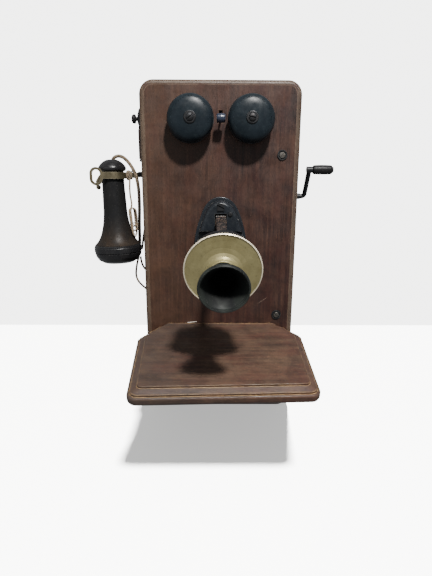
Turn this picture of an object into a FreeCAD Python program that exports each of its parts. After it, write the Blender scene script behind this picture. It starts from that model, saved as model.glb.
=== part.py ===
"""Antique wooden wall telephone with magneto crank, twin gongs and hanging receiver.

Millimetres. Origin at the bottom centre of the case, +X to the right of somebody
facing the telephone, +Y into the wall, +Z up. Every function makes one named piece.
"""
import FreeCAD
import Part
import math
import os

V = FreeCAD.Vector
X_AXIS = V(1, 0, 0)
Y_AXIS = V(0, 1, 0)
Z_AXIS = V(0, 0, 1)

# ---- case and door -------------------------------------------------------
DOOR_W = 231.0
DOOR_BOTTOM = 1.0
DOOR_TOP = 503.0
DOOR_FRONT = -75.0
DOOR_BACK = -55.0
DOOR_CORNER = 20.0
CASE_HALF = 111.0
BOARD = 12.0
CASE_FRONT = -54.0
CASE_BACK = 60.0
WALL = 75.0
INNER = CASE_HALF - BOARD
HINGE_X = -DOOR_W / 2 - 2.6
HINGE_Y = -55.5
HINGE_Z = (66.0, 396.0)
HINGE_LENGTH = 42.0
KNUCKLE = HINGE_LENGTH / 5.0

# ---- shelf on the door ---------------------------------------------------
SHELF_TOP_Z = 146.0
SHELF_SLOPE = 14.0
SHELF_ASKEW = 1.6
SHELF_DEPTH = 161.0
SHELF_HALF = 126.2
SHELF_REAR_HALF = 100.7
SHELF_THICK = 23.5

# ---- bells and ringer ----------------------------------------------------
GONG_X = 42.2
GONG_Z = 448.4
GONG_RIM = -91.0
GONG_CROWN = -110.0
CLAPPER_Z = 449.0
CLAPPER_Y = -95.0
RINGER_Y = -40.0
RINGER_PIVOT_Z = 403.0
COIL_X = 20.0

# ---- locking screws ------------------------------------------------------
LOCK_X = 89.5
LOCK_Z = (160.4, 401.6)

# ---- transmitter ---------------------------------------------------------
BASE_X = 0.8
ARM_PIVOT = V(BASE_X, -91.0, 311.5)
PLATE_CENTRE = V(1.2, -230.0, 262.0)
TRANSMITTER_TILT = 13.5
PLATE_R = 47.2

# ---- hook switch, receiver and cords -------------------------------------
HOOK_Y = -29.3
HOOK_PIVOT = V(-70.0, HOOK_Y, 374.0)
FORK_X = -166.8
FORK_INNER = 18.4
FORK_THICK = 3.0
FORK_LOW = 367.5
FORK_HIGH = 377.4
TIP_ASIDE = 6.4
RECEIVER_LEAN = -1.7
CORD_D = 4.6
LEAD_D = 3.0
STRING_D = 2.6

# ---- push button ---------------------------------------------------------
BUTTON_Y = -29.0
BUTTON_Z = 455.4

# ---- magneto and crank ---------------------------------------------------
CRANK_Y = -15.0
CRANK_Z = 341.5
CRANK_LEAN = 33.0
CRANK_LENGTH = 48.6
SHAFT_R = 4.0
GEAR_MODULE = 0.8
GEAR_TEETH = 75
PINION_TEETH = 15
ARMATURE_Y = 15.1
ARMATURE_Z = 321.5
GEAR_X = 74.0


def box(x0, x1, y0, y1, z0, z1):
    """A block between two corners."""
    return Part.makeBox(x1 - x0, y1 - y0, z1 - z0, V(x0, y0, z0))


def rod(radius, start, end):
    """A round bar from one point to another."""
    along = end - start
    return Part.makeCylinder(radius, along.Length, start, along)


def turned(points, origin=V(0, 0, 0)):
    """A solid of revolution about Z from (radius, height) corners."""
    ring = [V(r, 0, z) for r, z in points]
    face = Part.Face(Part.makePolygon(ring + [ring[0]]))
    solid = face.revolve(V(0, 0, 0), Z_AXIS, 360)
    solid.translate(origin)
    return solid


def turned_smooth(outer, inner):
    """A shell of revolution about Z between two smooth (radius, height) curves."""
    edges = []
    for points in (outer, inner):
        curve = Part.BSplineCurve()
        curve.interpolate([V(r, 0, z) for r, z in points])
        edges.append(curve.toShape())
    first = edges[0].Vertexes[-1].Point
    second = edges[1].Vertexes[0].Point
    closing = Part.makeLine(first, second)
    opening = Part.makeLine(edges[1].Vertexes[-1].Point, edges[0].Vertexes[0].Point)
    wire = Part.Wire([edges[0], closing, edges[1], opening])
    return Part.Face(wire).revolve(V(0, 0, 0), Z_AXIS, 360)


def facing_front(shape, x, y, z):
    """Turn a shape made along +Z so that +Z points at the viewer (-Y) and place it."""
    shape.rotate(V(0, 0, 0), X_AXIS, 90)
    shape.translate(V(x, y, z))
    return shape


def rounded_outline(x0, x1, z0, z1, radius, y, depth):
    """A plate in the XZ plane with four rounded corners."""
    plate = box(x0, x1, y, y + depth, z0, z1)
    corners = [e for e in plate.Edges if abs(e.tangentAt(e.FirstParameter).y) > 0.9]
    return plate.makeFillet(radius, corners)


def plate_from(points, depth, y):
    """Extrude an outline in the XZ plane from y towards +Y."""
    corners = [V(x, y, z) for x, z in points]
    face = Part.Face(Part.makePolygon(corners + [corners[0]]))
    return face.extrude(V(0, depth, 0))


def joined(shapes):
    """One solid from overlapping shapes."""
    whole = shapes[0].fuse(shapes[1:]) if len(shapes) > 1 else shapes[0]
    return whole.removeSplitter()


def round_edges(shape, radius, chosen):
    """Fillet the edges that the test picks."""
    edges = [e for e in shape.Edges if chosen(e)]
    return shape.makeFillet(radius, edges)


def slot_cutter(width, depth, length, x, y, z, angle=0.0):
    """The cutter of a screwdriver slot in a head that faces -Y."""
    cutter = box(-length, length, -1.0, depth, -width / 2.0, width / 2.0)
    cutter.rotate(V(0, 0, 0), Y_AXIS, angle)
    cutter.translate(V(x, y, z))
    return cutter


# ---- case ----------------------------------------------------------------
def make_backboard():
    board = rounded_outline(-DOOR_W / 2, DOOR_W / 2, 0, DOOR_TOP, DOOR_CORNER, CASE_BACK, WALL - CASE_BACK)
    for x in (-60.0, 60.0):
        for z in (30.0, 480.0):
            board = board.cut(Part.makeCylinder(2.75, 30, V(x, CASE_BACK - 5, z), Y_AXIS))
    return board.cut(Part.makeCylinder(5.0, 30, V(0, CASE_BACK - 5, 430.0), Y_AXIS))


def make_side(sign):
    inner = INNER if sign > 0 else -CASE_HALF
    side = box(inner, inner + BOARD, CASE_FRONT, CASE_BACK, 0, DOOR_TOP)
    outer_x = sign * CASE_HALF
    side = round_edges(side, 9.0, lambda e: is_case_corner(e, outer_x))
    if sign > 0:
        return side.cut(Part.makeCylinder(8.0, 30, V(90, CRANK_Y, CRANK_Z), X_AXIS))
    side = side.cut(hook_slot(6.5))
    side = side.cut(Part.makeCylinder(3.6, 30, V(-120, BUTTON_Y, BUTTON_Z), X_AXIS))
    for route in (LEAD_LOW, LEAD_MIDDLE, LEAD_HIGH):
        way = (route[-1] - route[-2]).normalize()
        side = side.cut(rod(LEAD_D / 2 + 0.15, route[-1] - way * 6.0, route[-1] + way * 4.0))
    return side


def is_case_corner(edge, outer_x):
    """True for the two long edges where a side board meets top and bottom outside."""
    ends = [v.Point for v in edge.Vertexes]
    same_x = all(abs(p.x - outer_x) < 0.01 for p in ends)
    along_y = abs(ends[0].y - ends[-1].y) > 50
    return same_x and along_y and ends[0].z > 100


def hook_slot(half_width):
    """The upright opening in the side board that the hook lever moves in."""
    return box(-130, -90, HOOK_Y - half_width, HOOK_Y + half_width, 368.6, 386.4)


def make_level_board(z0):
    return box(-INNER, INNER, CASE_FRONT, CASE_BACK, z0, z0 + BOARD)


def make_inner_shelf():
    shelf = box(-INNER, INNER, -20, CASE_BACK, 282, 292)
    return shelf.cut(box(-INNER - 1, -80, 20, 45, 280, 295))


def make_strike_plates():
    plates = []
    for z in LOCK_Z:
        plate = box(79, INNER, -51, -48.5, z - 14, z + 14)
        flange = box(INNER - 2.5, INNER, -51, -26, z - 14, z + 14)
        plate = plate.fuse(flange).removeSplitter()
        plates.append(plate.cut(Part.makeCylinder(4.2, 10, V(LOCK_X, -54, z), Y_AXIS)))
    return Part.makeCompound(plates)


def knuckles(low, places):
    """Heights of the rolled barrel pieces that belong to one leaf of a five-knuckle hinge."""
    return [(low + place * KNUCKLE + 0.1, low + (place + 1) * KNUCKLE - 0.1) for place in places]


def barrel(z0, z1):
    return Part.makeCylinder(2.4, z1 - z0, V(HINGE_X, HINGE_Y, z0))


def make_case_hinges():
    leaves = []
    for low in HINGE_Z:
        parts = [box(-CASE_HALF - 1.4, -CASE_HALF, HINGE_Y + 0.9, -43.5, low, low + HINGE_LENGTH)]
        for z0, z1 in knuckles(low, (0, 2, 4)):
            parts.append(barrel(z0, z1))
            parts.append(box(HINGE_X + 1.5, -CASE_HALF, HINGE_Y + 0.9, HINGE_Y + 2.0, z0, z1))
        leaf = joined(parts)
        leaf = leaf.cut(Part.makeCylinder(1.25, HINGE_LENGTH, V(HINGE_X, HINGE_Y, low)))
        for z in (low + 8, low + HINGE_LENGTH - 8):
            head = Part.makeSphere(2.8, V(-CASE_HALF + 0.2, -48.0, z))
            leaf = leaf.fuse(head.common(box(-116, -CASE_HALF, -52, -44, z - 5, z + 5)))
        leaves.append(leaf)
    return Part.makeCompound(leaves)


def make_door_hinges():
    edge = -DOOR_W / 2
    leaves = []
    for low in HINGE_Z:
        parts = [box(edge - 1.2, edge, -67, HINGE_Y - 2.8, low, low + HINGE_LENGTH)]
        for z0, z1 in knuckles(low, (1, 3)):
            parts.append(barrel(z0, z1))
            parts.append(box(edge - 1.2, edge, HINGE_Y - 3.0, HINGE_Y - 1.0, z0, z1))
        parts.append(Part.makeCylinder(1.2, HINGE_LENGTH + 3.2, V(HINGE_X, HINGE_Y, low - 1.6)))
        for end in (low - 2.1, low + HINGE_LENGTH + 2.1):
            parts.append(Part.makeSphere(1.9, V(HINGE_X, HINGE_Y, end)))
        leaves.append(joined(parts))
    return Part.makeCompound(leaves)


# ---- magneto -------------------------------------------------------------
def make_magneto_frame():
    base = box(-52, 68, -24, 48, 292, 296)
    right = box(63, 68, -26, 40, 296, 356)
    left = box(-52, -47, -8, 40, 296, 350)
    poles = []
    for near in (ARMATURE_Y - 21.3, ARMATURE_Y + 7.1):
        poles.append(box(-44, 60, near, near + 14.2, 296, 340))
    frame = joined([base, right, left] + poles)
    frame = frame.cut(Part.makeCylinder(14.8, 104, V(-44, ARMATURE_Y, ARMATURE_Z), X_AXIS))
    frame = frame.cut(Part.makeCylinder(3.05, 140, V(-60, ARMATURE_Y, ARMATURE_Z), X_AXIS))
    return frame.cut(Part.makeCylinder(SHAFT_R + 0.05, 10, V(60, CRANK_Y, CRANK_Z), X_AXIS))


def make_magneto_magnets():
    magnets = []
    for x in (-42.0, -16.0, 10.0, 36.0):
        outer = Part.makeCylinder(31, 22, V(x, ARMATURE_Y, 342), X_AXIS)
        inner = Part.makeCylinder(21.3, 24, V(x - 1, ARMATURE_Y, 342), X_AXIS)
        arch = outer.cut(inner).common(box(x - 2, x + 26, -40, 60, 342, 380))
        legs = [box(x, x + 22, ARMATURE_Y - 31, ARMATURE_Y - 21.3, 296, 342)]
        legs.append(box(x, x + 22, ARMATURE_Y + 21.3, ARMATURE_Y + 31, 296, 342))
        magnets.append(joined([arch] + legs))
    return Part.makeCompound(magnets)


def make_armature():
    core = Part.makeCylinder(14.0, 100, V(-42, ARMATURE_Y, ARMATURE_Z), X_AXIS)
    for side in (-1, 1):
        y = ARMATURE_Y + side * 11.0
        core = core.cut(box(-36, 52, y - 5, y + 5, ARMATURE_Z - 5, ARMATURE_Z + 5))
    shaft = Part.makeCylinder(3.0, 134, V(-54, ARMATURE_Y, ARMATURE_Z), X_AXIS)
    pinion = gear(PINION_TEETH, 8.0)
    to_gear = math.degrees(math.atan2(CRANK_Z - ARMATURE_Z, CRANK_Y - ARMATURE_Y))
    pinion.rotate(V(0, 0, 0), X_AXIS, to_gear + 180.0 / PINION_TEETH)
    pinion.translate(V(GEAR_X - 1, ARMATURE_Y, ARMATURE_Z))
    return joined([core, shaft, pinion])


def gear(teeth, width):
    """An involute spur gear about X, with one tooth centred on +Y."""
    pitch = GEAR_MODULE * teeth / 2.0
    pressure = math.radians(20)
    base = pitch * math.cos(pressure)
    tip = pitch + 0.9 * GEAR_MODULE
    root = pitch - 1.25 * GEAR_MODULE
    half = math.pi / (2 * teeth) - 0.09 / pitch
    start = max(base, root)
    flank = []
    for step in range(5):
        radius = start + (tip - start) * step / 4.0
        lean = math.acos(min(1.0, base / radius))
        angle = half + (math.tan(pressure) - pressure) - (math.tan(lean) - lean)
        flank.append((radius, angle))
    flank.insert(0, (root, flank[0][1] + 0.2 * half))
    points = []
    for tooth in range(teeth):
        centre = 2 * math.pi * tooth / teeth
        left = [(r, centre - a) for r, a in flank]
        right = [(r, centre + a) for r, a in reversed(flank)]
        points.extend(V(0, r * math.cos(a), r * math.sin(a)) for r, a in left + right)
    face = Part.Face(Part.makePolygon(points + [points[0]]))
    return face.extrude(V(width, 0, 0))


def make_drive_gear():
    wheel = gear(GEAR_TEETH, 6.0)
    to_pinion = math.degrees(math.atan2(ARMATURE_Z - CRANK_Z, ARMATURE_Y - CRANK_Y))
    wheel.rotate(V(0, 0, 0), X_AXIS, to_pinion)
    for spoke in range(5):
        angle = math.radians(72 * spoke + 20)
        centre = V(-1, 17.5 * math.cos(angle), 17.5 * math.sin(angle))
        wheel = wheel.cut(Part.makeCylinder(6.0, 10, centre, X_AXIS))
    wheel.translate(V(GEAR_X, CRANK_Y, CRANK_Z))
    hub = Part.makeCylinder(8.0, 11, V(GEAR_X, CRANK_Y, CRANK_Z), X_AXIS)
    wheel = joined([wheel, hub])
    return wheel.cut(Part.makeCylinder(SHAFT_R, 20, V(GEAR_X - 2, CRANK_Y, CRANK_Z), X_AXIS))


def make_crank_bush():
    tube = Part.makeCylinder(8.0, 13.0, V(INNER - 1.0, CRANK_Y, CRANK_Z), X_AXIS)
    flange = Part.makeCylinder(11.5, 2.2, V(CASE_HALF, CRANK_Y, CRANK_Z), X_AXIS)
    collar = Part.makeCylinder(7.5, 5.0, V(CASE_HALF, CRANK_Y, CRANK_Z), X_AXIS)
    bush = joined([tube, flange, collar])
    return bush.cut(Part.makeCylinder(SHAFT_R + 0.05, 30, V(90, CRANK_Y, CRANK_Z), X_AXIS))


def crank_direction():
    lean = math.radians(CRANK_LEAN)
    return V(0, -math.sin(lean), math.cos(lean))


def crank_end(x):
    """The point at a given X on the axis of the grip."""
    end = V(0, CRANK_Y, CRANK_Z) + crank_direction() * CRANK_LENGTH
    return V(x, end.y, end.z)


def make_crank_shaft():
    return Part.makeCylinder(SHAFT_R, 62.0, V(63.5, CRANK_Y, CRANK_Z), X_AXIS)


def make_crank_arm():
    route = [V(125.5, CRANK_Y, CRANK_Z), V(136.4, CRANK_Y, CRANK_Z), crank_end(137.2)]
    arm = swept("crank_arm", route, 7.4)
    hub = Part.makeCylinder(4.6, 4.0, V(125.5, CRANK_Y, CRANK_Z), X_AXIS)
    eye = Part.makeCylinder(4.7, 8.4, crank_end(132.9), X_AXIS)
    shoulder = Part.makeCone(4.7, 3.9, 1.0, crank_end(141.3), X_AXIS)
    spindle = Part.makeCylinder(2.8, 32.0, crank_end(140.5), X_AXIS)
    head = Part.makeCylinder(4.2, 1.4, crank_end(172.2), X_AXIS)
    return joined([arm, hub, eye, shoulder, spindle, head])


def make_crank_grip():
    profile = [(0, 2.86), (0, 5.6), (0.8, 6.5), (2.4, 6.9), (10, 7.2), (20, 7.2), (26.6, 6.9)]
    profile += [(28.2, 6.5), (29.3, 5.4), (29.3, 2.86)]
    ring = [V(x, r, 0) for x, r in profile]
    face = Part.Face(Part.makePolygon(ring + [ring[0]]))
    grip = face.revolve(V(0, 0, 0), X_AXIS, 360)
    grip.translate(crank_end(142.5))
    return grip


# ---- hook switch ---------------------------------------------------------
def make_hook_bracket():
    plate = box(-INNER, -INNER + 3, HOOK_Y - 13, HOOK_Y + 13, 338, 366)
    cap = box(-INNER, -INNER + 3, HOOK_Y - 13, HOOK_Y + 13, 389, 402)
    cheeks = []
    for y in (HOOK_Y - 13, HOOK_Y + 10):
        cheeks.append(box(-INNER, -62, y, y + 3, 362, 394))
    pin = rod(2.5, V(HOOK_PIVOT.x, HOOK_Y - 14, 374.0), V(HOOK_PIVOT.x, HOOK_Y + 14, 374.0))
    stop = box(-INNER + 3, -88, HOOK_Y - 10, HOOK_Y + 10, 362, 366)
    return joined([plate, cap, stop] + cheeks + [pin])


def make_contact_springs():
    block = box(-92, -84, HOOK_Y - 8, HOOK_Y + 8, 330, 346)
    foot = box(-INNER, -92, HOOK_Y - 8, HOOK_Y + 8, 326, 336)
    parts = [block, foot]
    for step in range(3):
        x = -91 + step * 2.6
        parts.append(box(x, x + 0.6, HOOK_Y - 5, HOOK_Y + 5, 344, 357 - step))
    return joined(parts)


def make_hook_escutcheon():
    plate = box(-CASE_HALF - 1.5, -CASE_HALF, HOOK_Y - 12, HOOK_Y + 12, 361, 394)
    plate = round_edges(plate, 5.0, lambda e: abs(e.tangentAt(e.FirstParameter).x) > 0.9)
    plate = plate.cut(hook_slot(4.2))
    for z in (364.5, 390.5):
        head = Part.makeSphere(2.6, V(-CASE_HALF - 0.9, HOOK_Y, z))
        plate = plate.fuse(head.common(box(-118, -CASE_HALF, HOOK_Y - 4, HOOK_Y + 4, z - 4, z + 4)))
    return plate


def make_hook_lever():
    bar = box(-127, HOOK_PIVOT.x, HOOK_Y - 2.6, HOOK_Y + 2.6, 369.9, 378.1)
    hub = rod(7.0, V(HOOK_PIVOT.x, HOOK_Y - 9.5, 374.0), V(HOOK_PIVOT.x, HOOK_Y + 9.5, 374.0))
    tail = box(-74.5, -67.5, HOOK_Y - 3, HOOK_Y + 3, 350, 372)
    lever = joined([bar, hub, tail])
    bore = rod(2.56, V(HOOK_PIVOT.x, HOOK_Y - 12, 374.0), V(HOOK_PIVOT.x, HOOK_Y + 12, 374.0))
    return lever.cut(bore)


def oval(radius, y):
    """The upright oval at the end of the fork's front prong, solid, of a given half width."""
    centre = V(-187.5, y, 371.0)
    ends = [Part.makeCylinder(radius, FORK_THICK, centre + V(0, 0, rise), Y_AXIS) for rise in (-3.8, 3.8)]
    between = box(centre.x - radius, centre.x + radius, y, y + FORK_THICK, 367.2, 374.8)
    return joined(ends + [between])


def make_hook_fork():
    low, high = FORK_LOW, FORK_HIGH
    tall = high - low
    outer_r = FORK_INNER + FORK_THICK
    outer = Part.makeCylinder(outer_r, tall, V(FORK_X, HOOK_Y, low))
    inner = Part.makeCylinder(FORK_INNER, tall, V(FORK_X, HOOK_Y, low))
    bow = outer.cut(inner).common(box(FORK_X, FORK_X + 30, HOOK_Y - 30, HOOK_Y + 30, low, high))
    shank = box(FORK_X + FORK_INNER + 1, -127, HOOK_Y - 3.2, HOOK_Y + 3.2, 368.6, 377.0)
    front_y = HOOK_Y - outer_r
    back_y = HOOK_Y + FORK_INNER
    front = box(-181, FORK_X, front_y, front_y + FORK_THICK, low, high)
    ring = oval(9.8, front_y).cut(oval(6.0, front_y))
    outline = [(FORK_X, high), (-185, high), (-193.0, 372.4), (-198.4, 364.0), (-198.4, 355.0)]
    outline += [(-193.4, 355.0), (-193.4, 361.5), (-188.0, low), (FORK_X, low)]
    back = plate_from(outline, FORK_THICK, back_y)
    tip = Part.makeSphere(3.8, V(-196.0, back_y + TIP_ASIDE, 354.0))
    return joined([bow, shank, front, ring, back, tip])


# ---- receiver ------------------------------------------------------------
def placed_receiver(shape):
    """Lean a receiver piece, made upright about Z at the fork, and hang it in place."""
    shape.rotate(V(0, 0, 372.0), Y_AXIS, RECEIVER_LEAN)
    shape.translate(V(FORK_X, HOOK_Y, 0))
    return shape


def make_receiver_shell():
    outer = [(17.3, 378.4), (17.2, 365.0), (17.35, 351.0), (17.9, 336.0), (18.3, 322.0)]
    outer += [(19.2, 309.0), (21.2, 296.0), (23.9, 285.2), (27.2, 276.5), (31.0, 270.4), (34.6, 266.4)]
    inner = [(31.0, 266.4), (27.6, 272.0), (23.6, 279.0), (20.2, 288.0), (17.6, 299.0)]
    inner += [(15.6, 312.0), (14.4, 326.0), (13.9, 345.0), (13.6, 362.0), (13.6, 378.4)]
    shell = turned_smooth(outer, inner)
    lip = turned([(28.0, 262.6), (34.6, 262.6), (34.6, 266.4), (31.0, 266.4), (28.0, 266.4)])
    return placed_receiver(joined([shell, lip]))


def make_ear_cap():
    outer = [(6.0, 237.0), (14.0, 235.0), (24.0, 236.6), (31.2, 240.6), (35.2, 246.6), (36.9, 252.4)]
    profile = outer + [(36.2, 253.0), (36.2, 254.0), (37.5, 254.7), (37.5, 261.2), (36.6, 262.4)]
    profile += [(36.6, 264.2), (35.2, 265.4), (34.8, 265.4), (34.8, 262.4), (31.0, 259.4)]
    profile += [(30.6, 250.0), (27.0, 243.6), (14.0, 239.6), (6.0, 241.4)]
    return placed_receiver(turned(profile))


def make_receiver_cap():
    outer = [(5.0, 396.4), (7.0, 396.1), (11.0, 394.6), (15.6, 391.6), (19.2, 387.6), (21.3, 383.4)]
    outer += [(20.9, 380.6), (18.6, 378.6)]
    dome = turned_smooth(outer, [(2.7, 378.6), (2.7, 389.5)])
    skirt = Part.makeCylinder(13.4, 5.0, V(0, 0, 374.0))
    hollow = Part.makeCylinder(11.6, 10.0, V(0, 0, 374.0)).fuse(Part.makeCone(11.6, 2.7, 3.0, V(0, 0, 384.0)))
    return placed_receiver(joined([dome, skirt]).cut(hollow))


def make_receiver_magnet():
    parts = [Part.makeCylinder(12.8, 2.0, V(0, 0, 372))]
    for side in (-1, 1):
        near, far = sorted((side * 2.2, side * 8.6))
        parts.append(box(near, far, -4.2, 4.2, 276, 372.5))
        parts.append(Part.makeCylinder(4.4, 11.0, V(side * 6.6, 0, 265.5)))
    return placed_receiver(joined(parts))


# ---- push button ---------------------------------------------------------
def along_left(shape, x, y, z):
    """Turn a shape made along +Z so that +Z points out of the left side and place it."""
    shape.rotate(V(0, 0, 0), Y_AXIS, -90)
    shape.translate(V(x, y, z))
    return shape


def make_button_housing():
    profile = [(3.6, 0), (22.0, 0), (22.0, 2.6), (20.6, 5.4), (17.6, 8.8), (13.8, 11.2)]
    profile += [(9.6, 12.4), (8.6, 13.0), (3.6, 13.0)]
    return along_left(turned(profile), -CASE_HALF, BUTTON_Y, BUTTON_Z)


def make_push_button():
    profile = [(0, -17), (3.0, -17), (3.0, 16.3), (5.9, 16.6), (6.8, 17.7), (6.9, 19.4)]
    profile += [(6.0, 21.4), (4.0, 22.6), (0, 22.9)]
    return along_left(turned(profile), -CASE_HALF, BUTTON_Y, BUTTON_Z)


def make_button_spring():
    foot = box(-INNER, -INNER + 1.2, BUTTON_Y - 6, BUTTON_Y + 6, 420, 440)
    blade = box(-INNER + 0.6, -INNER + 1.2, BUTTON_Y - 5, BUTTON_Y + 5, 436, 446)
    reach = box(-INNER + 0.6, -88.4, BUTTON_Y - 5, BUTTON_Y + 5, 444.6, 445.4)
    contact = box(-89.2, -88.4, BUTTON_Y - 5, BUTTON_Y + 5, 444.6, 462)
    return joined([foot, blade, reach, contact])


# ---- door ----------------------------------------------------------------
def make_door_board():
    half = DOOR_W / 2
    board = rounded_outline(-half, half, DOOR_BOTTOM, DOOR_TOP, DOOR_CORNER, DOOR_FRONT + 1, 19.0)
    front = [e for e in board.Edges if all(abs(v.Point.y - DOOR_FRONT - 1) < 0.01 for v in e.Vertexes)]
    board = board.makeFillet(6.2, front)
    inset = 7.4
    panel = rounded_outline(-half + inset, half - inset, DOOR_BOTTOM + inset, DOOR_TOP - inset,
                            DOOR_CORNER - inset, DOOR_FRONT, 2.0)
    board = joined([board, panel])
    board = board.cut(box(-5.6, 5.6, -80, -50, CLAPPER_Z - 4, CLAPPER_Z + 6))
    board = board.cut(box(-3.0, 3.0, -80, -50, CLAPPER_Z, CLAPPER_Z + 13))
    for z in LOCK_Z:
        board = board.cut(Part.makeCylinder(2.6, 30, V(LOCK_X, -80, z), Y_AXIS))
    return board


def shelf_ring(inset, height, corner):
    """The plan of the shelf at one height: rounded front corners, rear corners cut off."""
    half = SHELF_HALF - inset
    front = inset - SHELF_DEPTH
    side = -27.5 - 0.378 * inset
    rear = SHELF_REAR_HALF - 1.335 * inset - 13.3
    bulge = corner * (1.0 - math.sqrt(0.5))
    edges = []
    for sign in (-1, 1):
        edges.append(Part.makeLine(V(sign * rear, 15, height), V(sign * half, side, height)))
        edges.append(Part.makeLine(V(sign * half, side, height), V(sign * half, front + corner, height)))
        middle = V(sign * (half - bulge), front + bulge, height)
        start = V(sign * half, front + corner, height)
        arc = Part.Arc(start, middle, V(sign * (half - corner), front, height))
        edges.append(arc.toShape())
    edges.append(Part.makeLine(V(corner - half, front, height), V(half - corner, front, height)))
    edges.append(Part.makeLine(V(-rear, 15, height), V(rear, 15, height)))
    return Part.Wire(Part.__sortEdges__(edges))


def shelf_layer(inset, low, high, corner):
    """A level slice of the shelf with upright edges."""
    return Part.Face(shelf_ring(inset, low, corner)).extrude(V(0, 0, high - low))


def front_edges(shape, height):
    """Edges round the front and sides of a layer at one height."""
    chosen = []
    for edge in shape.Edges:
        level = all(abs(v.Point.z - height) < 0.01 for v in edge.Vertexes)
        if level and edge.BoundBox.YMin < 0:
            chosen.append(edge)
    return chosen


def make_shelf():
    """A board with a moulded edge: a bead, a sloping cove, a second bead and a round nose."""
    nose = shelf_layer(0.0, -SHELF_THICK, -9.4, 13.0)
    nose = nose.makeFillet(3.2, front_edges(nose, -9.4))
    nose = nose.makeFillet(6.4, front_edges(nose, -SHELF_THICK))
    bead = shelf_layer(3.8, -9.8, -6.3, 11.0)
    bead = bead.makeFillet(0.9, front_edges(bead, -6.3))
    cove = Part.makeLoft([shelf_ring(4.8, -6.4, 10.5), shelf_ring(13.4, -2.9, 7.0)], True, True)
    top = shelf_layer(13.0, -6.4, 0.0, 7.0)
    top = top.makeFillet(1.1, front_edges(top, 0.0))
    shelf = joined([nose, bead, cove, top])
    shelf.rotate(V(0, 0, 0), Z_AXIS, SHELF_ASKEW)
    shelf.rotate(V(0, 0, 0), X_AXIS, SHELF_SLOPE)
    shelf.translate(V(0, DOOR_FRONT, SHELF_TOP_Z))
    return shelf.cut(box(-150, 150, DOOR_FRONT, 0, 60, 200))


def make_gong(x):
    outer = [(32.0, 0.0), (32.1, 4.5), (31.4, 9.6), (28.4, 14.0), (22.6, 16.9), (15.0, 18.4), (8.0, 19.0)]
    inner = [(8.0, 17.5), (14.8, 16.9), (21.8, 15.4), (26.9, 12.7), (29.8, 8.9), (30.4, 4.5), (30.4, 0.0)]
    shell = turned_smooth(outer, inner)
    crown = turned([(2.55, 17.5), (8.0, 17.5), (8.0, 19.0), (2.55, 19.0)])
    bead = turned([(30.2, 0.0), (32.4, 0.0), (32.8, 1.1), (32.4, 2.2), (31.0, 2.2)])
    return facing_front(joined([shell, crown, bead]), x, GONG_RIM, GONG_Z)


def make_gong_posts():
    posts = []
    for x in (-GONG_X, GONG_X):
        post = turned([(0, 0), (9.0, 0), (9.0, 2.0), (6.0, 4.0), (4.6, 8.0), (4.6, 33.4), (0, 33.4)])
        post = post.cut(Part.makeCylinder(2.5, 20, V(0, 0, 18)))
        posts.append(facing_front(post, x, DOOR_FRONT, GONG_Z))
    return Part.makeCompound(posts)


def make_gong_screws():
    screws = []
    for x, angle in ((-GONG_X, -38.0), (GONG_X, 12.0)):
        profile = [(0, -12), (2.4, -12), (2.4, 0.05), (8.2, 0.05), (8.2, 1.0), (7.2, 1.5), (5.4, 1.5)]
        profile += [(5.3, 2.4), (4.4, 3.1), (2.4, 3.6), (0, 3.7)]
        screw = facing_front(turned(profile), x, GONG_CROWN, GONG_Z)
        screws.append(screw.cut(slot_cutter(1.6, 1.7, 8, x, GONG_CROWN - 3.7, GONG_Z, angle)))
    return Part.makeCompound(screws)


def make_lock_rings():
    rings = []
    for z in LOCK_Z:
        ring = turned([(2.6, 0), (7.4, 0), (7.4, 1.0), (6.8, 1.9), (6.0, 1.9), (5.7, 0.6), (2.6, 0.6)])
        rings.append(facing_front(ring, LOCK_X, DOOR_FRONT, z))
    return Part.makeCompound(rings)


def make_lock_screw(z, angle):
    profile = [(0, -28.5), (1.6, -28.5), (2.5, -27.0), (2.5, 0.7), (4.3, 0.7), (4.3, 1.7)]
    profile += [(3.7, 2.3), (0, 2.5)]
    screw = facing_front(turned(profile), LOCK_X, DOOR_FRONT, z)
    return screw.cut(slot_cutter(1.4, 1.5, 8, LOCK_X, DOOR_FRONT - 2.5, z, angle))


def make_ringer_frame():
    yoke = box(-34, 34, DOOR_BACK, -27, 343, 350)
    back = box(-9, 9, DOOR_BACK, -52.5, 343, 412)
    pin = rod(1.5, V(0, -53, RINGER_PIVOT_Z), V(0, -30, RINGER_PIVOT_Z))
    cores = [Part.makeCylinder(4.5, 45.0, V(x, RINGER_Y, 349.5)) for x in (-COIL_X, COIL_X)]
    magnet = box(-7, 7, -27.5, -22.5, 343, 385)
    return joined([yoke, back, pin, magnet] + cores)


def make_ringer_coils():
    coils = []
    for x in (-COIL_X, COIL_X):
        outline = [(4.55, 0), (11.5, 0), (11.5, 2), (10.2, 2), (10.2, 37), (11.5, 37), (11.5, 39), (4.55, 39)]
        spool = turned(outline)
        spool.translate(V(x, RINGER_Y, 350.5))
        coils.append(spool)
    return Part.makeCompound(coils)


def make_clapper_armature():
    bar = box(-30, 30, RINGER_Y - 6, RINGER_Y + 6, 398.2, 401.4)
    hub = rod(4.4, V(0, RINGER_Y - 7, RINGER_PIVOT_Z), V(0, RINGER_Y + 7, RINGER_PIVOT_Z))
    bore = rod(1.56, V(0, -60, RINGER_PIVOT_Z), V(0, -20, RINGER_PIVOT_Z))
    return joined([bar, hub]).cut(bore)


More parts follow.
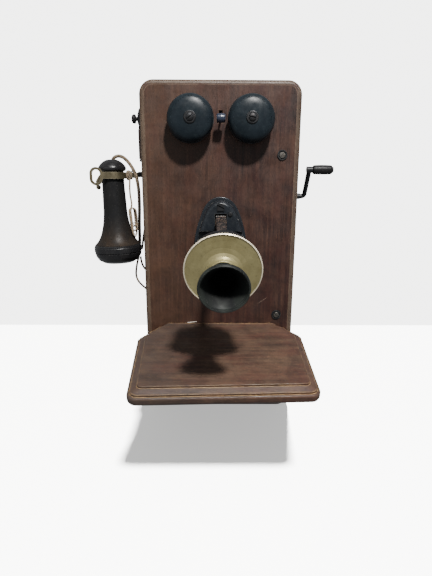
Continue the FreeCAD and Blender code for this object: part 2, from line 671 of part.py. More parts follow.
def make_clapper():
    upright = rod(1.3, V(0, RINGER_Y, 406.6), V(0, RINGER_Y, CLAPPER_Z))
    elbow = Part.makeSphere(1.3, V(0, RINGER_Y, CLAPPER_Z))
    reach = rod(1.3, V(0, RINGER_Y, CLAPPER_Z), V(0, CLAPPER_Y, CLAPPER_Z))
    head = turned([(0, -6.0), (4.9, -6.0), (5.9, -4.4), (6.2, 0), (5.9, 4.4), (4.9, 6.0), (0, 6.0)])
    head.rotate(V(0, 0, 0), Y_AXIS, 90)
    head.translate(V(0, CLAPPER_Y, CLAPPER_Z))
    return joined([upright, elbow, reach, head])


# ---- transmitter ---------------------------------------------------------
def base_prism(inset, depth, front):
    """The casting's outline, an arch that spreads smoothly downward, drawn in and extruded."""
    half = [(0.0, 342.3), (13.0, 338.8), (22.6, 329.4), (29.2, 315.3), (35.6, 296.0), (39.0, 276.0)]
    half += [(38.0, 255.0), (30.0, 241.0), (14.0, 236.6)]
    whole = half + [(0.0, 236.0)] + [(-x, z) for x, z in reversed(half[1:])]
    across = 1.0 - inset / 38.0
    up = 1.0 - inset / 50.0
    points = [V(BASE_X + x * across, front, 290.0 + (z - 290.0) * up) for x, z in whole]
    curve = Part.BSplineCurve()
    curve.interpolate(points, True)
    return Part.Face(Part.Wire(curve.toShape())).extrude(V(0, depth, 0))


def front_edge(shape, y):
    """The edges of a shape that lie in one plane across Y."""
    return [e for e in shape.Edges if abs(e.BoundBox.YMin - y) < 0.01 and abs(e.BoundBox.YMax - y) < 0.01]


def make_transmitter_base():
    flange = base_prism(0.0, 4.0, DOOR_FRONT - 4.0)
    flange = flange.makeFillet(1.4, front_edge(flange, DOOR_FRONT - 4.0))
    body = base_prism(5.2, 24.0, DOOR_FRONT - 24.0)
    body = body.makeFillet(6.0, front_edge(body, DOOR_FRONT - 24.0))
    casting = joined([flange, body])
    slot = box(BASE_X - 8.6, BASE_X + 8.6, -110, -80.5, 276.0, 319.0)
    relief = box(-60, 60, -110, -84.0, 226.0, 289.0)
    relief.rotate(V(0, -84, 289), X_AXIS, -18)
    casting = casting.cut(slot).cut(relief)
    casting = casting.cut(rod(2.85, ARM_PIVOT + V(-19, 0, 0), ARM_PIVOT + V(40, 0, 0)))
    casting = casting.cut(rod(4.6, ARM_PIVOT + V(20.4, 0, 0), ARM_PIVOT + V(40, 0, 0)))
    screw_hole = Part.makeCylinder(2.4, 30, V(BASE_X, -100, 328.6), Y_AXIS)
    return casting.cut(screw_hole)


def make_base_screws():
    screws = []
    head = box(-5.4, 5.4, -2.4, 0, -5.0, 5.0)
    head = head.makeFillet(1.6, [e for e in head.Edges if abs(e.tangentAt(e.FirstParameter).y) > 0.9])
    head.translate(V(BASE_X, DOOR_FRONT - 24.0, 328.6))
    shank = rod(2.3, V(BASE_X, DOOR_FRONT - 24.5, 328.6), V(BASE_X, DOOR_FRONT - 1.0, 328.6))
    top = joined([head, shank])
    screws.append(top.cut(slot_cutter(1.5, 2.2, 9, BASE_X, DOOR_FRONT - 26.4, 328.6, 28)))
    side = turned([(0, 0), (3.4, 0), (3.4, 1.2), (2.6, 1.9), (0, 2.1)])
    side = facing_front(side, BASE_X + 13.6, DOOR_FRONT - 24.0, 318.5)
    screws.append(side.cut(slot_cutter(0.9, 1.0, 4, BASE_X + 13.6, DOOR_FRONT - 26.1, 318.5, 60)))
    return Part.makeCompound(screws)


def arm_direction():
    tilt = math.radians(TRANSMITTER_TILT)
    return V(0, -math.cos(tilt), -math.sin(tilt))


def make_arm():
    cup_back = PLATE_CENTRE - arm_direction() * 44.6
    reach = (cup_back - ARM_PIVOT).dot(arm_direction())
    bar = box(-6.8, 6.8, 8.0 - reach, 3.0, -5.2, 5.2)
    bar = bar.makeFillet(1.6, [e for e in bar.Edges if abs(e.tangentAt(e.FirstParameter).y) > 0.9])
    hub = Part.makeCylinder(7.4, 13.6, V(-6.8, 0, 0), X_AXIS)
    collar = box(-7.8, 7.8, -27.0, -20.0, -6.2, 6.2)
    collar = collar.makeFillet(1.2, [e for e in collar.Edges if abs(e.tangentAt(e.FirstParameter).y) > 0.9])
    end = box(-6.8, 6.8, -reach, 14.0 - reach, -24.0, 5.2)
    end = end.makeFillet(3.0, [e for e in end.Edges if abs(e.tangentAt(e.FirstParameter).x) > 0.9])
    arm = joined([bar, hub, collar, end])
    arm = arm.cut(Part.makeCylinder(2.85, 30, V(-15, 0, 0), X_AXIS))
    arm.rotate(V(0, 0, 0), X_AXIS, TRANSMITTER_TILT)
    arm.translate(ARM_PIVOT)
    return arm


def make_pivot_bolt():
    bolt = rod(2.8, ARM_PIVOT + V(-18.8, 0, 0), ARM_PIVOT + V(21.0, 0, 0))
    head = rod(4.3, ARM_PIVOT + V(20.6, 0, 0), ARM_PIVOT + V(23.2, 0, 0))
    slot = box(22.2, 24.0, -0.6, 0.6, -5, 5)
    slot.translate(ARM_PIVOT)
    return joined([bolt, head]).cut(slot)


def on_transmitter(shape):
    """Place a shape made about Z, with +Z out of the mouthpiece, on the tilted axis."""
    shape.rotate(V(0, 0, 0), X_AXIS, 90.0 + TRANSMITTER_TILT)
    shape.translate(PLATE_CENTRE)
    return shape


def rim_screw_places():
    """Where the screws meet the back of the faceplate's rim."""
    angles = [math.radians(spot) for spot in (30, 150, 270)]
    return [V(44.2 * math.cos(angle), 44.2 * math.sin(angle), -2.5) for angle in angles]


def make_transmitter_cup():
    profile = [(0, -44.6), (20, -44.6), (31, -42.6), (37.5, -37.5), (40.6, -29), (41.6, -16), (42.0, -2.5)]
    profile += [(38.6, -2.5), (38.2, -16), (37.2, -28), (34.4, -35), (29, -39.4), (19, -41.2), (0, -41.2)]
    return on_transmitter(turned(profile))


def make_faceplate():
    profile = [(8.2, -2.5), (45.8, -2.5), (46.9, -2.1), (PLATE_R, -1.0), (46.9, 0.2), (46.2, 0.8)]
    profile += [(45.4, 0.7), (44.8, 0.1), (38.0, 0.3), (30.0, 0.9), (24.0, 2.0), (20.4, 3.8), (18.4, 6.4)]
    profile += [(17.2, 9.4), (16.4, 10.0), (8.2, 10.0)]
    plate = turned(profile)
    for place in rim_screw_places():
        plate = plate.cut(Part.makeCylinder(0.95, 3.0, place - V(0, 0, 1.2)))
    return on_transmitter(plate)


def make_faceplate_screws():
    """Small screws that go into the back of the rim."""
    screws = []
    for place in rim_screw_places():
        screw = turned([(0, -1.6), (0.7, -1.5), (1.7, -0.9), (1.7, 0), (0.9, 0), (0.9, 1.6), (0, 1.6)])
        screw = screw.cut(box(-3, 3, -0.3, 0.3, -2, -0.9))
        screw.translate(place)
        screws.append(on_transmitter(screw))
    return Part.makeCompound(screws)


def make_mouthpiece():
    outer = [(15.8, 10.0), (15.2, 12.6), (15.0, 16.0), (15.9, 21.0), (18.2, 27.0), (21.6, 33.2)]
    outer += [(25.2, 38.8), (27.6, 42.2), (28.7, 43.8)]
    inner = [(26.8, 44.2), (24.8, 41.0), (21.6, 36.0), (17.4, 30.0), (14.4, 24.4), (13.0, 19.0)]
    inner += [(12.7, 15.5), (12.7, 12.5), (12.7, 10.0)]
    horn = turned_smooth(outer, inner)
    lip = [(26.4, 43.4), (28.2, 42.2), (29.3, 43.0), (29.6, 45.0), (29.2, 47.0), (28.0, 48.0), (26.8, 47.4)]
    lip.append((26.2, 45.6))
    screen = turned([(0, 13.0), (13.2, 13.0), (13.2, 15.0), (0, 15.0)])
    for ring, count in ((0, 1), (4.0, 6), (8.4, 12)):
        for step in range(count):
            angle = 2 * math.pi * step / count
            place = V(ring * math.cos(angle), ring * math.sin(angle), 11)
            screen = screen.cut(Part.makeCylinder(1.2, 6, place))
    neck = [(8.0, -2.0), (8.15, -2.0), (8.15, 10.0), (15.8, 10.0), (15.4, 11.4), (12.6, 11.4)]
    neck += [(12.6, 13.2), (7.0, 13.2), (7.0, -2.0)]
    return on_transmitter(joined([horn, turned(lip), screen, turned(neck)]))


def make_transmitter_capsule():
    diaphragm = turned([(0, -5.4), (31.0, -5.4), (31.0, -2.5), (29.0, -2.5), (29.0, -4.4), (0, -4.4)])
    button = turned([(0, -30), (11, -30), (11, -14), (8, -12), (3, -12), (3, -5.0), (0, -5.0)])
    bridge = box(-36.0, 36.0, -5, 5, -32.0, -29.0)
    return on_transmitter(joined([diaphragm, button, bridge]))


# ---- parts on the backboard and the floor of the case --------------------
def make_induction_coil():
    parts = [box(x, x + 6, 28, CASE_BACK, 200, 232) for x in (-46.0, 40.0)]
    parts.append(rod(12.5, V(-41, 44, 216), V(41, 44, 216)))
    parts.append(box(-46, 46, 56, CASE_BACK, 198, 200.5))
    return joined(parts)


def make_condenser():
    can = box(58, 88, 34, CASE_BACK, 204, 262)
    can = can.makeFillet(2.0, [e for e in can.Edges if abs(e.tangentAt(e.FirstParameter).z) > 0.9])
    tags = [box(x, x + 4, 44, 45, 262, 268) for x in (64, 78)]
    return joined([can] + tags)


def make_dry_cells():
    cells = []
    for x in (-48.0, 44.0):
        jar = turned([(0, 0), (32, 0), (33, 1), (33, 149), (32, 151), (30.5, 151), (30.5, 146), (0, 146)])
        posts = [Part.makeCylinder(9.0, 4, V(0, 0, 145)), Part.makeCylinder(2.6, 16, V(0, 0, 145))]
        posts.append(Part.makeCylinder(2.6, 13, V(25.0, 0, 145)))
        posts.append(Part.makeCylinder(5.0, 3.2, V(0, 0, 155)))
        posts.append(Part.makeCylinder(4.4, 3.2, V(25.0, 0, 153)))
        cell = joined([jar] + posts)
        cell.translate(V(x, 14, BOARD))
        cells.append(cell)
    return Part.makeCompound(cells)


def make_terminal_block():
    block = box(-58, 58, 48, CASE_BACK, 404, 420)
    posts = []
    for step in range(5):
        x = -48 + step * 24.0
        posts.append(Part.makeCylinder(4.2, 3.0, V(x, 48, 412), V(0, -1, 0)))
        posts.append(Part.makeCylinder(2.2, 10.0, V(x, 48, 412), V(0, -1, 0)))
        posts.append(Part.makeCylinder(4.6, 3.6, V(x, 42, 412), V(0, -1, 0)))
    return joined([block] + posts)


# ---- cords ---------------------------------------------------------------
CORD_ROUTE = [V(-167.2, -29.3, 384.6), V(-167.2, -29.3, 396.8), V(-156.6, -29.7, 402.8),
              V(-144.8, -31.4, 397.6), V(-132.4, -35.2, 381.0), V(-126.2, -38.0, 362.0),
              V(-126.4, -29.5, 333.0), V(-130.6, -14.0, 297.0), V(-133.0, -1.5, 263.5),
              V(-134.8, 0.8, 245.0)]
LEAD_LOW = [V(-136.0, 1.0, 240.0), V(-141.0, 1.0, 223.0), V(-142.4, 1.0, 202.0), V(-131.0, 1.0, 187.0),
            V(-109.6, 1.0, 170.5)]
LEAD_MIDDLE = [V(-132.6, -0.6, 240.0), V(-131.9, -1.0, 228.0), V(-124.0, -1.0, 215.5),
               V(-109.4, -1.0, 203.0)]
LEAD_HIGH = [V(-129.4, -1.2, 252.6), V(-127.8, -1.0, 268.0), V(-124.4, 0.0, 286.0), V(-121.0, 1.0, 303.0),
             V(-109.0, 1.0, 310.0)]
STAY_ROUTE = [V(-139.6, -33.2, 367.4), V(-140.6, -33.5, 353.6), V(-140.0, -33.3, 340.0),
              V(-137.6, -33.0, 327.0)]
HANK_AXIS = V(3.4, 0.0, -46.0)


def swept(name, route, diameter):
    """A round bar or cord: straight runs joined by arcs that touch them, swept as one tube."""
    edges = []
    here = route[0]
    length = 0.0
    radii = []
    for before, corner, after in zip(route, route[1:], route[2:]):
        incoming = corner - before
        outgoing = after - corner
        turn = incoming.getAngle(outgoing)
        radius = 0.45 * min(incoming.Length, outgoing.Length) / math.tan(turn / 2)
        cut = radius * math.tan(turn / 2)
        first = corner - incoming.normalize() * cut
        last = corner + outgoing.normalize() * cut
        middle_way = (last - corner).normalize() + (first - corner).normalize()
        middle = corner + middle_way.normalize() * (radius / math.cos(turn / 2) - radius)
        edges.append(Part.LineSegment(here, first).toShape())
        edges.append(Part.Arc(first, middle, last).toShape())
        length += (first - here).Length + radius * turn
        radii.append(round(radius, 1))
        here = last
    edges.append(Part.LineSegment(here, route[-1]).toShape())
    length += (route[-1] - here).Length
    start_way = (route[1] - route[0]).normalize()
    section = Part.Wire(Part.makeCircle(diameter / 2, route[0], start_way))
    tube = Part.Wire(edges).makePipeShell([section], True, True)
    wanted = math.pi * diameter ** 2 / 4 * length
    print(name, "length", round(length, 1), "radii", radii, "volume ratio", round(tube.Volume / wanted, 4))
    return tube


def make_receiver_cord():
    tube = swept("receiver_cord", CORD_ROUTE, CORD_D)
    end = CORD_ROUTE[-1]
    way = (end - CORD_ROUTE[-2]).normalize()
    whipping = rod(3.3, end - way * 6.0, end + way * 3.0)
    return joined([tube, whipping])


def make_stay_string():
    """A string lashed round the fork's shank, with its spare length hanging as a small hank."""
    tube = swept("stay_string", STAY_ROUTE, STRING_D)
    lashing = box(-144.8, -135.6, HOOK_Y - 5.3, HOOK_Y + 5.3, 366.4, 379.2)
    lashing = round_edges(lashing, 2.0, lambda e: abs(e.tangentAt(e.FirstParameter).x) > 0.9)
    lashing = lashing.cut(box(-150, -130, HOOK_Y - 3.2, HOOK_Y + 3.2, 368.6, 377.0))
    profile = [(0, 0), (2.6, 0), (6.4, 3.5), (7.0, 9.0), (6.0, 19.0), (4.2, 32.0), (2.0, 45.0), (0, 46.0)]
    hank = turned(profile)
    hank.rotate(V(0, 0, 0), V(0, 0, 1).cross(HANK_AXIS), math.degrees(Z_AXIS.getAngle(HANK_AXIS)))
    hank.translate(STAY_ROUTE[-1] + V(0, 0, 1.5))
    return joined([tube, lashing, hank])


def all_parts():
    parts = {
        "backboard": make_backboard(),
        "side_left": make_side(-1),
        "side_right": make_side(1),
        "top_board": make_level_board(DOOR_TOP - BOARD),
        "bottom_board": make_level_board(0),
        "inner_shelf": make_inner_shelf(),
        "strike_plates": make_strike_plates(),
        "case_hinges": make_case_hinges(),
        "magneto_frame": make_magneto_frame(),
        "magneto_magnets": make_magneto_magnets(),
        "crank_bush": make_crank_bush(),
        "hook_bracket": make_hook_bracket(),
        "contact_springs": make_contact_springs(),
        "hook_escutcheon": make_hook_escutcheon(),
        "button_housing": make_button_housing(),
        "button_spring": make_button_spring(),
        "induction_coil": make_induction_coil(),
        "condenser": make_condenser(),
        "dry_cells": make_dry_cells(),
        "terminal_block": make_terminal_block(),
        "lead_low": swept("lead_low", LEAD_LOW, LEAD_D),
        "lead_middle": swept("lead_middle", LEAD_MIDDLE, LEAD_D),
        "lead_high": swept("lead_high", LEAD_HIGH, LEAD_D),
        "door_board": make_door_board(),
        "door_hinges": make_door_hinges(),
        "shelf": make_shelf(),
        "gong_left": make_gong(-GONG_X),
        "gong_right": make_gong(GONG_X),
        "gong_posts": make_gong_posts(),
        "gong_screws": make_gong_screws(),
        "ringer_frame": make_ringer_frame(),
        "ringer_coils": make_ringer_coils(),
        "lock_rings": make_lock_rings(),
        "transmitter_base": make_transmitter_base(),
        "base_screws": make_base_screws(),
        "lock_screw_lower": make_lock_screw(LOCK_Z[0], 35),
        "lock_screw_upper": make_lock_screw(LOCK_Z[1], -55),
        "clapper_armature": make_clapper_armature(),
        "clapper": make_clapper(),
        "arm": make_arm(),
        "pivot_bolt": make_pivot_bolt(),
        "transmitter_cup": make_transmitter_cup(),
        "faceplate": make_faceplate(),
        "faceplate_screws": make_faceplate_screws(),
        "mouthpiece": make_mouthpiece(),
        "transmitter_capsule": make_transmitter_capsule(),
        "crank_shaft": make_crank_shaft(),
        "crank_arm": make_crank_arm(),
        "drive_gear": make_drive_gear(),
        "crank_grip": make_crank_grip(),
        "armature": make_armature(),
        "hook_lever": make_hook_lever(),
        "hook_fork": make_hook_fork(),
        "stay_string": make_stay_string(),
        "receiver_shell": make_receiver_shell(),
        "receiver_cap": make_receiver_cap(),
        "ear_cap": make_ear_cap(),
        "receiver_magnet": make_receiver_magnet(),
        "receiver_cord": make_receiver_cord(),
        "push_button": make_push_button(),
    }
    return parts


os.makedirs("parts", exist_ok=True)
for name, shape in all_parts().items():
    if not shape.isValid():
        print("not valid:", name)
    shape.exportStep("parts/" + name + ".step")
    box_of = shape.BoundBox
    print(name, len(shape.Solids), [round(v, 1) for v in (box_of.XMin, box_of.XMax, box_of.YMin,
                                                         box_of.YMax, box_of.ZMin, box_of.ZMax)])
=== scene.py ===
"""Looks for the antique wall telephone: aged oak, black iron, dull brass and braided cords."""
import math

import bmesh
import bpy
from mathutils import Matrix, Vector


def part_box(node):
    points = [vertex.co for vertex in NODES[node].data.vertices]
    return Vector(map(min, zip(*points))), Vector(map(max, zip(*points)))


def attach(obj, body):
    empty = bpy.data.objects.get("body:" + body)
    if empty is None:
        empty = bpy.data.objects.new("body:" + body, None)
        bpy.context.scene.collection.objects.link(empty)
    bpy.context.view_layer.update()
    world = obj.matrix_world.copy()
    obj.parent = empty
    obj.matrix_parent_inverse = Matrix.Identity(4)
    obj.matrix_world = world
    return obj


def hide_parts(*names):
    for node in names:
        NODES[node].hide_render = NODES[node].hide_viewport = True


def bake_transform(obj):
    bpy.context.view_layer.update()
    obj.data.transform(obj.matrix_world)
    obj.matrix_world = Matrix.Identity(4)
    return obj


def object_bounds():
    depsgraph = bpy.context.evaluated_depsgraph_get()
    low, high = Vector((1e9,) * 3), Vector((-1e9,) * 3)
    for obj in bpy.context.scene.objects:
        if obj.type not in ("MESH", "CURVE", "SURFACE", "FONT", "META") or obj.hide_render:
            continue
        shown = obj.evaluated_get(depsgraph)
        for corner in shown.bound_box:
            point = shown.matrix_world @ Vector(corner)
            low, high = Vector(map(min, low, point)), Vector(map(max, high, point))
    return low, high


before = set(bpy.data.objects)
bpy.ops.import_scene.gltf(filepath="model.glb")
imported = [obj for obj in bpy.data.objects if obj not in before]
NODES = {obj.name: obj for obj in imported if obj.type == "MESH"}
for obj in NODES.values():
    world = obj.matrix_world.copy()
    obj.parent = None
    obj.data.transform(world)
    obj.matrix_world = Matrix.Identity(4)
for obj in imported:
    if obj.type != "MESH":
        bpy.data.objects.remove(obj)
CAD_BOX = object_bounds()
MM = 0.001

# ---- camera --------------------------------------------------------------
CAMERA_AT = Vector((-0.01247, -0.73140, 0.36600))
CAMERA_YAW = math.radians(0.6150)
CAMERA_PITCH = math.radians(13.915)
CAMERA_ROLL = math.radians(0.272)
CAMERA_LENS = 27.20

# ---- the transmitter's axis leans down at the front ----------------------
TRANSMITTER_TILT = math.radians(13.5)

# ---- cord routes, in millimetres in the row frame ------------------------
CORD_ROUTE = [(-167.2, -29.3, 384.6), (-167.2, -29.3, 396.8), (-156.6, -29.7, 402.8),
              (-144.8, -31.4, 397.6), (-132.4, -35.2, 381.0), (-126.2, -38.0, 362.0),
              (-126.4, -29.5, 333.0), (-130.6, -14.0, 297.0), (-133.0, -1.5, 263.5),
              (-134.8, 0.8, 245.0)]
LEAD_LOW = [(-136.0, 1.0, 240.0), (-141.0, 1.0, 223.0), (-142.4, 1.0, 202.0),
            (-131.0, 1.0, 187.0), (-109.6, 1.0, 170.5)]
LEAD_MIDDLE = [(-132.6, -0.6, 240.0), (-131.9, -1.0, 228.0), (-124.0, -1.0, 215.5),
               (-109.4, -1.0, 203.0)]
LEAD_HIGH = [(-129.4, -1.2, 252.6), (-127.8, -1.0, 268.0), (-124.4, 0.0, 286.0),
             (-121.0, 1.0, 303.0), (-109.0, 1.0, 310.0)]
STAY_ROUTE = [(-139.6, -33.2, 367.4), (-140.6, -33.5, 353.6), (-140.0, -33.3, 340.0),
              (-137.6, -33.0, 327.0)]
CORD_D = 4.6 * MM
LEAD_D = 3.0 * MM
STRING_D = 1.8 * MM
BRAID_FUZZ = 1.15                # the braid's loose fibres make a cord look thicker
DOUBLED = 1.6                    # the string hangs double between lashing and hank

# ---- the lashing round the fork's shank, in millimetres ------------------
SHANK_AT = (-29.3, 372.8)        # the middle of the shank, in Y and Z
LASHING_X = -136.4               # where the first turn lies
LASHING_PITCH = 1.75
LASHING_STEPS = 16               # points to a turn
LASHING_COUNT = 7 * LASHING_STEPS + 5
LASHING_OUT = 4.8                # turns laid before the string comes back over them
LASHING_HALF = (4.7, 5.8)        # half the turn's size in Y and in Z
LAYER_START = 4.6                # the turn at which it climbs on to the second layer
LAYER_RISE = 1.3

# ---- the hank of spare string, in millimetres ----------------------------
HANK_AT = (-137.4, -33.0, 317.4)
HANK_FOLD = 5.5
HANK_TURNS = 8
HANK_STEPS = 30                  # points to a loop
HANK_LEAN = 0.074
HANK_SPREAD = 0.6
HANK_SIDE = (10.0, 25.0)         # a loop's straight side, and what is added as it turns edge on


def make_camera():
    forward = Vector((math.sin(CAMERA_YAW) * math.cos(CAMERA_PITCH),
                      math.cos(CAMERA_YAW) * math.cos(CAMERA_PITCH), -math.sin(CAMERA_PITCH)))
    right = Vector((math.cos(CAMERA_YAW), -math.sin(CAMERA_YAW), 0.0))
    up = right.cross(forward)
    level_right = math.cos(CAMERA_ROLL) * right + math.sin(CAMERA_ROLL) * up
    level_up = -math.sin(CAMERA_ROLL) * right + math.cos(CAMERA_ROLL) * up
    data = bpy.data.cameras.new("camera")
    data.sensor_fit = "VERTICAL"
    data.sensor_height = 36.0
    data.lens = CAMERA_LENS
    camera = bpy.data.objects.new("camera", data)
    turn = Matrix((level_right, level_up, -forward)).transposed().to_4x4()
    camera.matrix_world = Matrix.Translation(CAMERA_AT) @ turn
    bpy.context.scene.collection.objects.link(camera)
    bpy.context.scene.camera = camera


# ---- material graphs -----------------------------------------------------
class Graph:
    """A small helper that adds shader nodes and joins them by their sockets."""

    def __init__(self, name):
        self.material = bpy.data.materials.new(name)
        self.material.use_nodes = True
        self.tree = self.material.node_tree
        self.shader = self.tree.nodes["Principled BSDF"]
        coordinates = self.tree.nodes.new("ShaderNodeTexCoord")
        self.uv = coordinates.outputs["UV"]
        self.place = self.scaled(coordinates.outputs["Object"], (1000.0, 1000.0, 1000.0))

    def put(self, kind, settings, inputs, output=0):
        """Add one node, set its options and inputs, and return one of its outputs."""
        added = self.tree.nodes.new(kind)
        for key, value in settings.items():
            setattr(added, key, value)
        for key, value in inputs.items():
            socket = added.inputs[key]
            if isinstance(value, bpy.types.NodeSocket):
                self.tree.links.new(value, socket)
            else:
                socket.default_value = value
        return added.outputs[output]

    def scaled(self, vector, scale, move=(0.0, 0.0, 0.0), turn=(0.0, 0.0, 0.0)):
        return self.put("ShaderNodeMapping", {}, {"Vector": vector, "Scale": scale, "Location": move,
                                                  "Rotation": turn})

    def noise(self, vector, scale=1.0, detail=4.0, rough=0.55, bend=0.0):
        return self.put("ShaderNodeTexNoise", {}, {"Vector": vector, "Scale": scale, "Detail": detail,
                                                   "Roughness": rough, "Distortion": bend})

    def math(self, operation, a, b=0.0, clamp=False):
        return self.put("ShaderNodeMath", {"operation": operation, "use_clamp": clamp}, {0: a, 1: b})

    def ramp(self, value, stops):
        """Blend through (position, grey or colour) stops."""
        output = self.put("ShaderNodeValToRGB", {}, {"Fac": value})
        band = output.node.color_ramp
        while len(band.elements) < len(stops):
            band.elements.new(0.5)
        for element, (position, colour) in zip(band.elements, stops):
            element.position = position
            shade = (colour, colour, colour) if isinstance(colour, float) else colour
            element.color = (*shade, 1.0)
        return output

    def mix(self, amount, a, b):
        """Blend from colour a to colour b."""
        inputs = {0: amount, 6: colour4(a), 7: colour4(b)}
        return self.put("ShaderNodeMix", {"data_type": "RGBA"}, inputs, 2)

    def edges(self, radius, low=0.02, high=0.2):
        """White along outer and inner corners, found from a rounded normal."""
        rounded = self.put("ShaderNodeBevel", {"samples": 6}, {"Radius": radius})
        plain = self.put("ShaderNodeNewGeometry", {}, {}, "Normal")
        alike = self.put("ShaderNodeVectorMath", {"operation": "DOT_PRODUCT"},
                         {0: rounded, 1: plain}, 1)
        turned = self.math("SUBTRACT", 1.0, alike)
        return self.ramp(turned, [(low, 0.0), (high, 1.0)])

    def bump(self, height, strength, depth):
        return self.put("ShaderNodeBump", {},
                        {"Height": height, "Strength": strength, "Distance": depth})

    def finish(self, colour, rough, normal=None, metallic=0.0, specular=0.5, coat=0.0, coat_rough=0.1):
        """Feed the surface shader and return the finished material."""
        for key, value in (("Base Color", colour), ("Roughness", rough), ("Normal", normal),
                           ("Metallic", metallic), ("Specular IOR Level", specular),
                           ("Coat Weight", coat), ("Coat Roughness", coat_rough)):
            if value is None:
                continue
            socket = self.shader.inputs[key]
            if isinstance(value, bpy.types.NodeSocket):
                self.tree.links.new(value, socket)
            else:
                socket.default_value = colour4(value) if key == "Base Color" else value
        return self.material


def colour4(value):
    return (*value, 1.0) if isinstance(value, tuple) and len(value) == 3 else value


def oak(name, along, tones, wear, wear_amount=0.8, gloss=0.42, seed=0.0, patina=None, marks=(),
        border=None):
    """Varnished oak: growth bands, fibres, pores, old patina and pale rubbed edges.

    along is the grain's axis; tones are its dark, middle and light colours. patina is a second
    colour, the strip of X over which it fades in, and its greatest share. marks are straight lines,
    each with its ends, width and colour, drawn into the colour and sunk into the bump.
    border is how far out and how far up the worn edge moulding starts, and its colour.
    """
    dark, middle, light = tones
    g = Graph(name)
    stretch = [1.0, 1.0, 1.0]
    stretch["xyz".index(along)] = 0.035
    place = g.scaled(g.place, (1.0, 1.0, 1.0), (seed, seed * 1.7, seed * 0.6))
    grain = g.scaled(place, tuple(stretch))
    wobble = g.noise(g.scaled(place, tuple(0.02 if s == 1.0 else 0.006 for s in stretch)), 1.0, 2.0)
    shifted = g.put("ShaderNodeVectorMath", {"operation": "MULTIPLY_ADD"},
                    {0: wobble, 1: (16.0, 16.0, 16.0), 2: grain})
    bands = g.noise(shifted, 0.20, 3.0, 0.6)
    fibres = g.noise(grain, 0.62, 6.0, 0.8)
    fine = g.noise(g.scaled(place, tuple(1.0 if s == 1.0 else 0.12 for s in stretch)), 1.6, 4.0, 0.7)
    pore_size = tuple(2.6 if s == 1.0 else 0.16 for s in stretch)
    pore_mask = g.ramp(g.noise(g.scaled(place, pore_size), 1.0, 3.0, 0.6), [(0.55, 0.0), (0.65, 1.0)])
    tone = g.math("ADD", g.math("MULTIPLY", bands, 0.34), g.math("MULTIPLY", fibres, 0.40))
    tone = g.math("ADD", tone, g.math("MULTIPLY", fine, 0.26))
    colour = g.ramp(tone, [(0.40, dark), (0.50, middle), (0.63, light)])
    warm_size = tuple(1.0 if s == 1.0 else 0.4 for s in stretch)
    warm = g.ramp(g.noise(g.scaled(place, warm_size), 0.05, 4.0, 0.6), [(0.45, 0.0), (0.65, 0.5)])
    colour = g.mix(warm, colour, tuple(c * f for c, f in zip(middle, (1.25, 0.72, 0.78))))
    blotches = g.ramp(g.noise(place, 0.016, 5.0, 0.62, 0.5), [(0.42, 0.0), (0.62, 0.8)])
    colour = g.mix(blotches, colour, g.mix(0.5, colour, light))
    grime = g.ramp(g.noise(place, 0.035, 6.0, 0.7, 0.6), [(0.46, 0.0), (0.70, 0.6)])
    colour = g.mix(grime, colour, dark)
    if patina is not None:
        x = g.put("ShaderNodeSeparateXYZ", {}, {"Vector": g.place})
        across = g.put("ShaderNodeMapRange", {},
                       {"Value": x, "From Min": patina[1], "From Max": patina[2]})
        rough_edge = g.math("MULTIPLY", g.noise(place, 0.06, 5.0, 0.7), 1.5)
        share = g.math("MULTIPLY", g.math("MULTIPLY", across, rough_edge), patina[3], True)
        colour = g.mix(share, colour, patina[0])
    if border is not None:
        x = g.put("ShaderNodeSeparateXYZ", {}, {"Vector": g.place})
        z = x.node.outputs["Z"]
        beyond = g.math("MAXIMUM", g.math("SUBTRACT", g.math("ABSOLUTE", x), border[0]),
                        g.math("SUBTRACT", z, border[1]))
        worn = g.ramp(g.noise(place, 0.03, 5.0, 0.7), [(0.36, 0.35), (0.62, 0.85)])
        share = g.math("MULTIPLY", g.math("MULTIPLY", beyond, 0.5, True), worn)
        colour = g.mix(share, colour, g.mix(0.35, border[2], colour))
    colour = g.mix(g.math("MULTIPLY", pore_mask, 0.55), colour, tuple(c * 0.35 for c in dark))
    speck = g.ramp(g.noise(place, 0.75, 3.0, 0.6), [(0.68, 0.0), (0.74, 0.55)])
    colour = g.mix(speck, colour, wear)
    rubbed = g.math("MULTIPLY", g.edges(1.7 * MM, 0.010, 0.10),
                    g.ramp(g.noise(place, 0.07, 6.0, 0.7), [(0.36, 0.25), (0.58, 1.0)]))
    colour = g.mix(g.math("MULTIPLY", rubbed, wear_amount), colour, wear)
    height = g.math("SUBTRACT", g.math("MULTIPLY", fibres, 0.35), g.math("MULTIPLY", pore_mask, 0.8))
    for start, end, width, shade in marks:
        line = stroke(g, start, end, width)
        colour = g.mix(line, colour, shade)
        height = g.math("SUBTRACT", height, g.math("MULTIPLY", line, 1.5))
    rough = g.ramp(g.noise(place, 0.05, 4.0), [(0.3, gloss - 0.08), (0.75, gloss + 0.16)])
    normal = g.bump(height, 0.35, 0.35 * MM)
    return g.finish(colour, rough, normal, 0.0, 0.28)


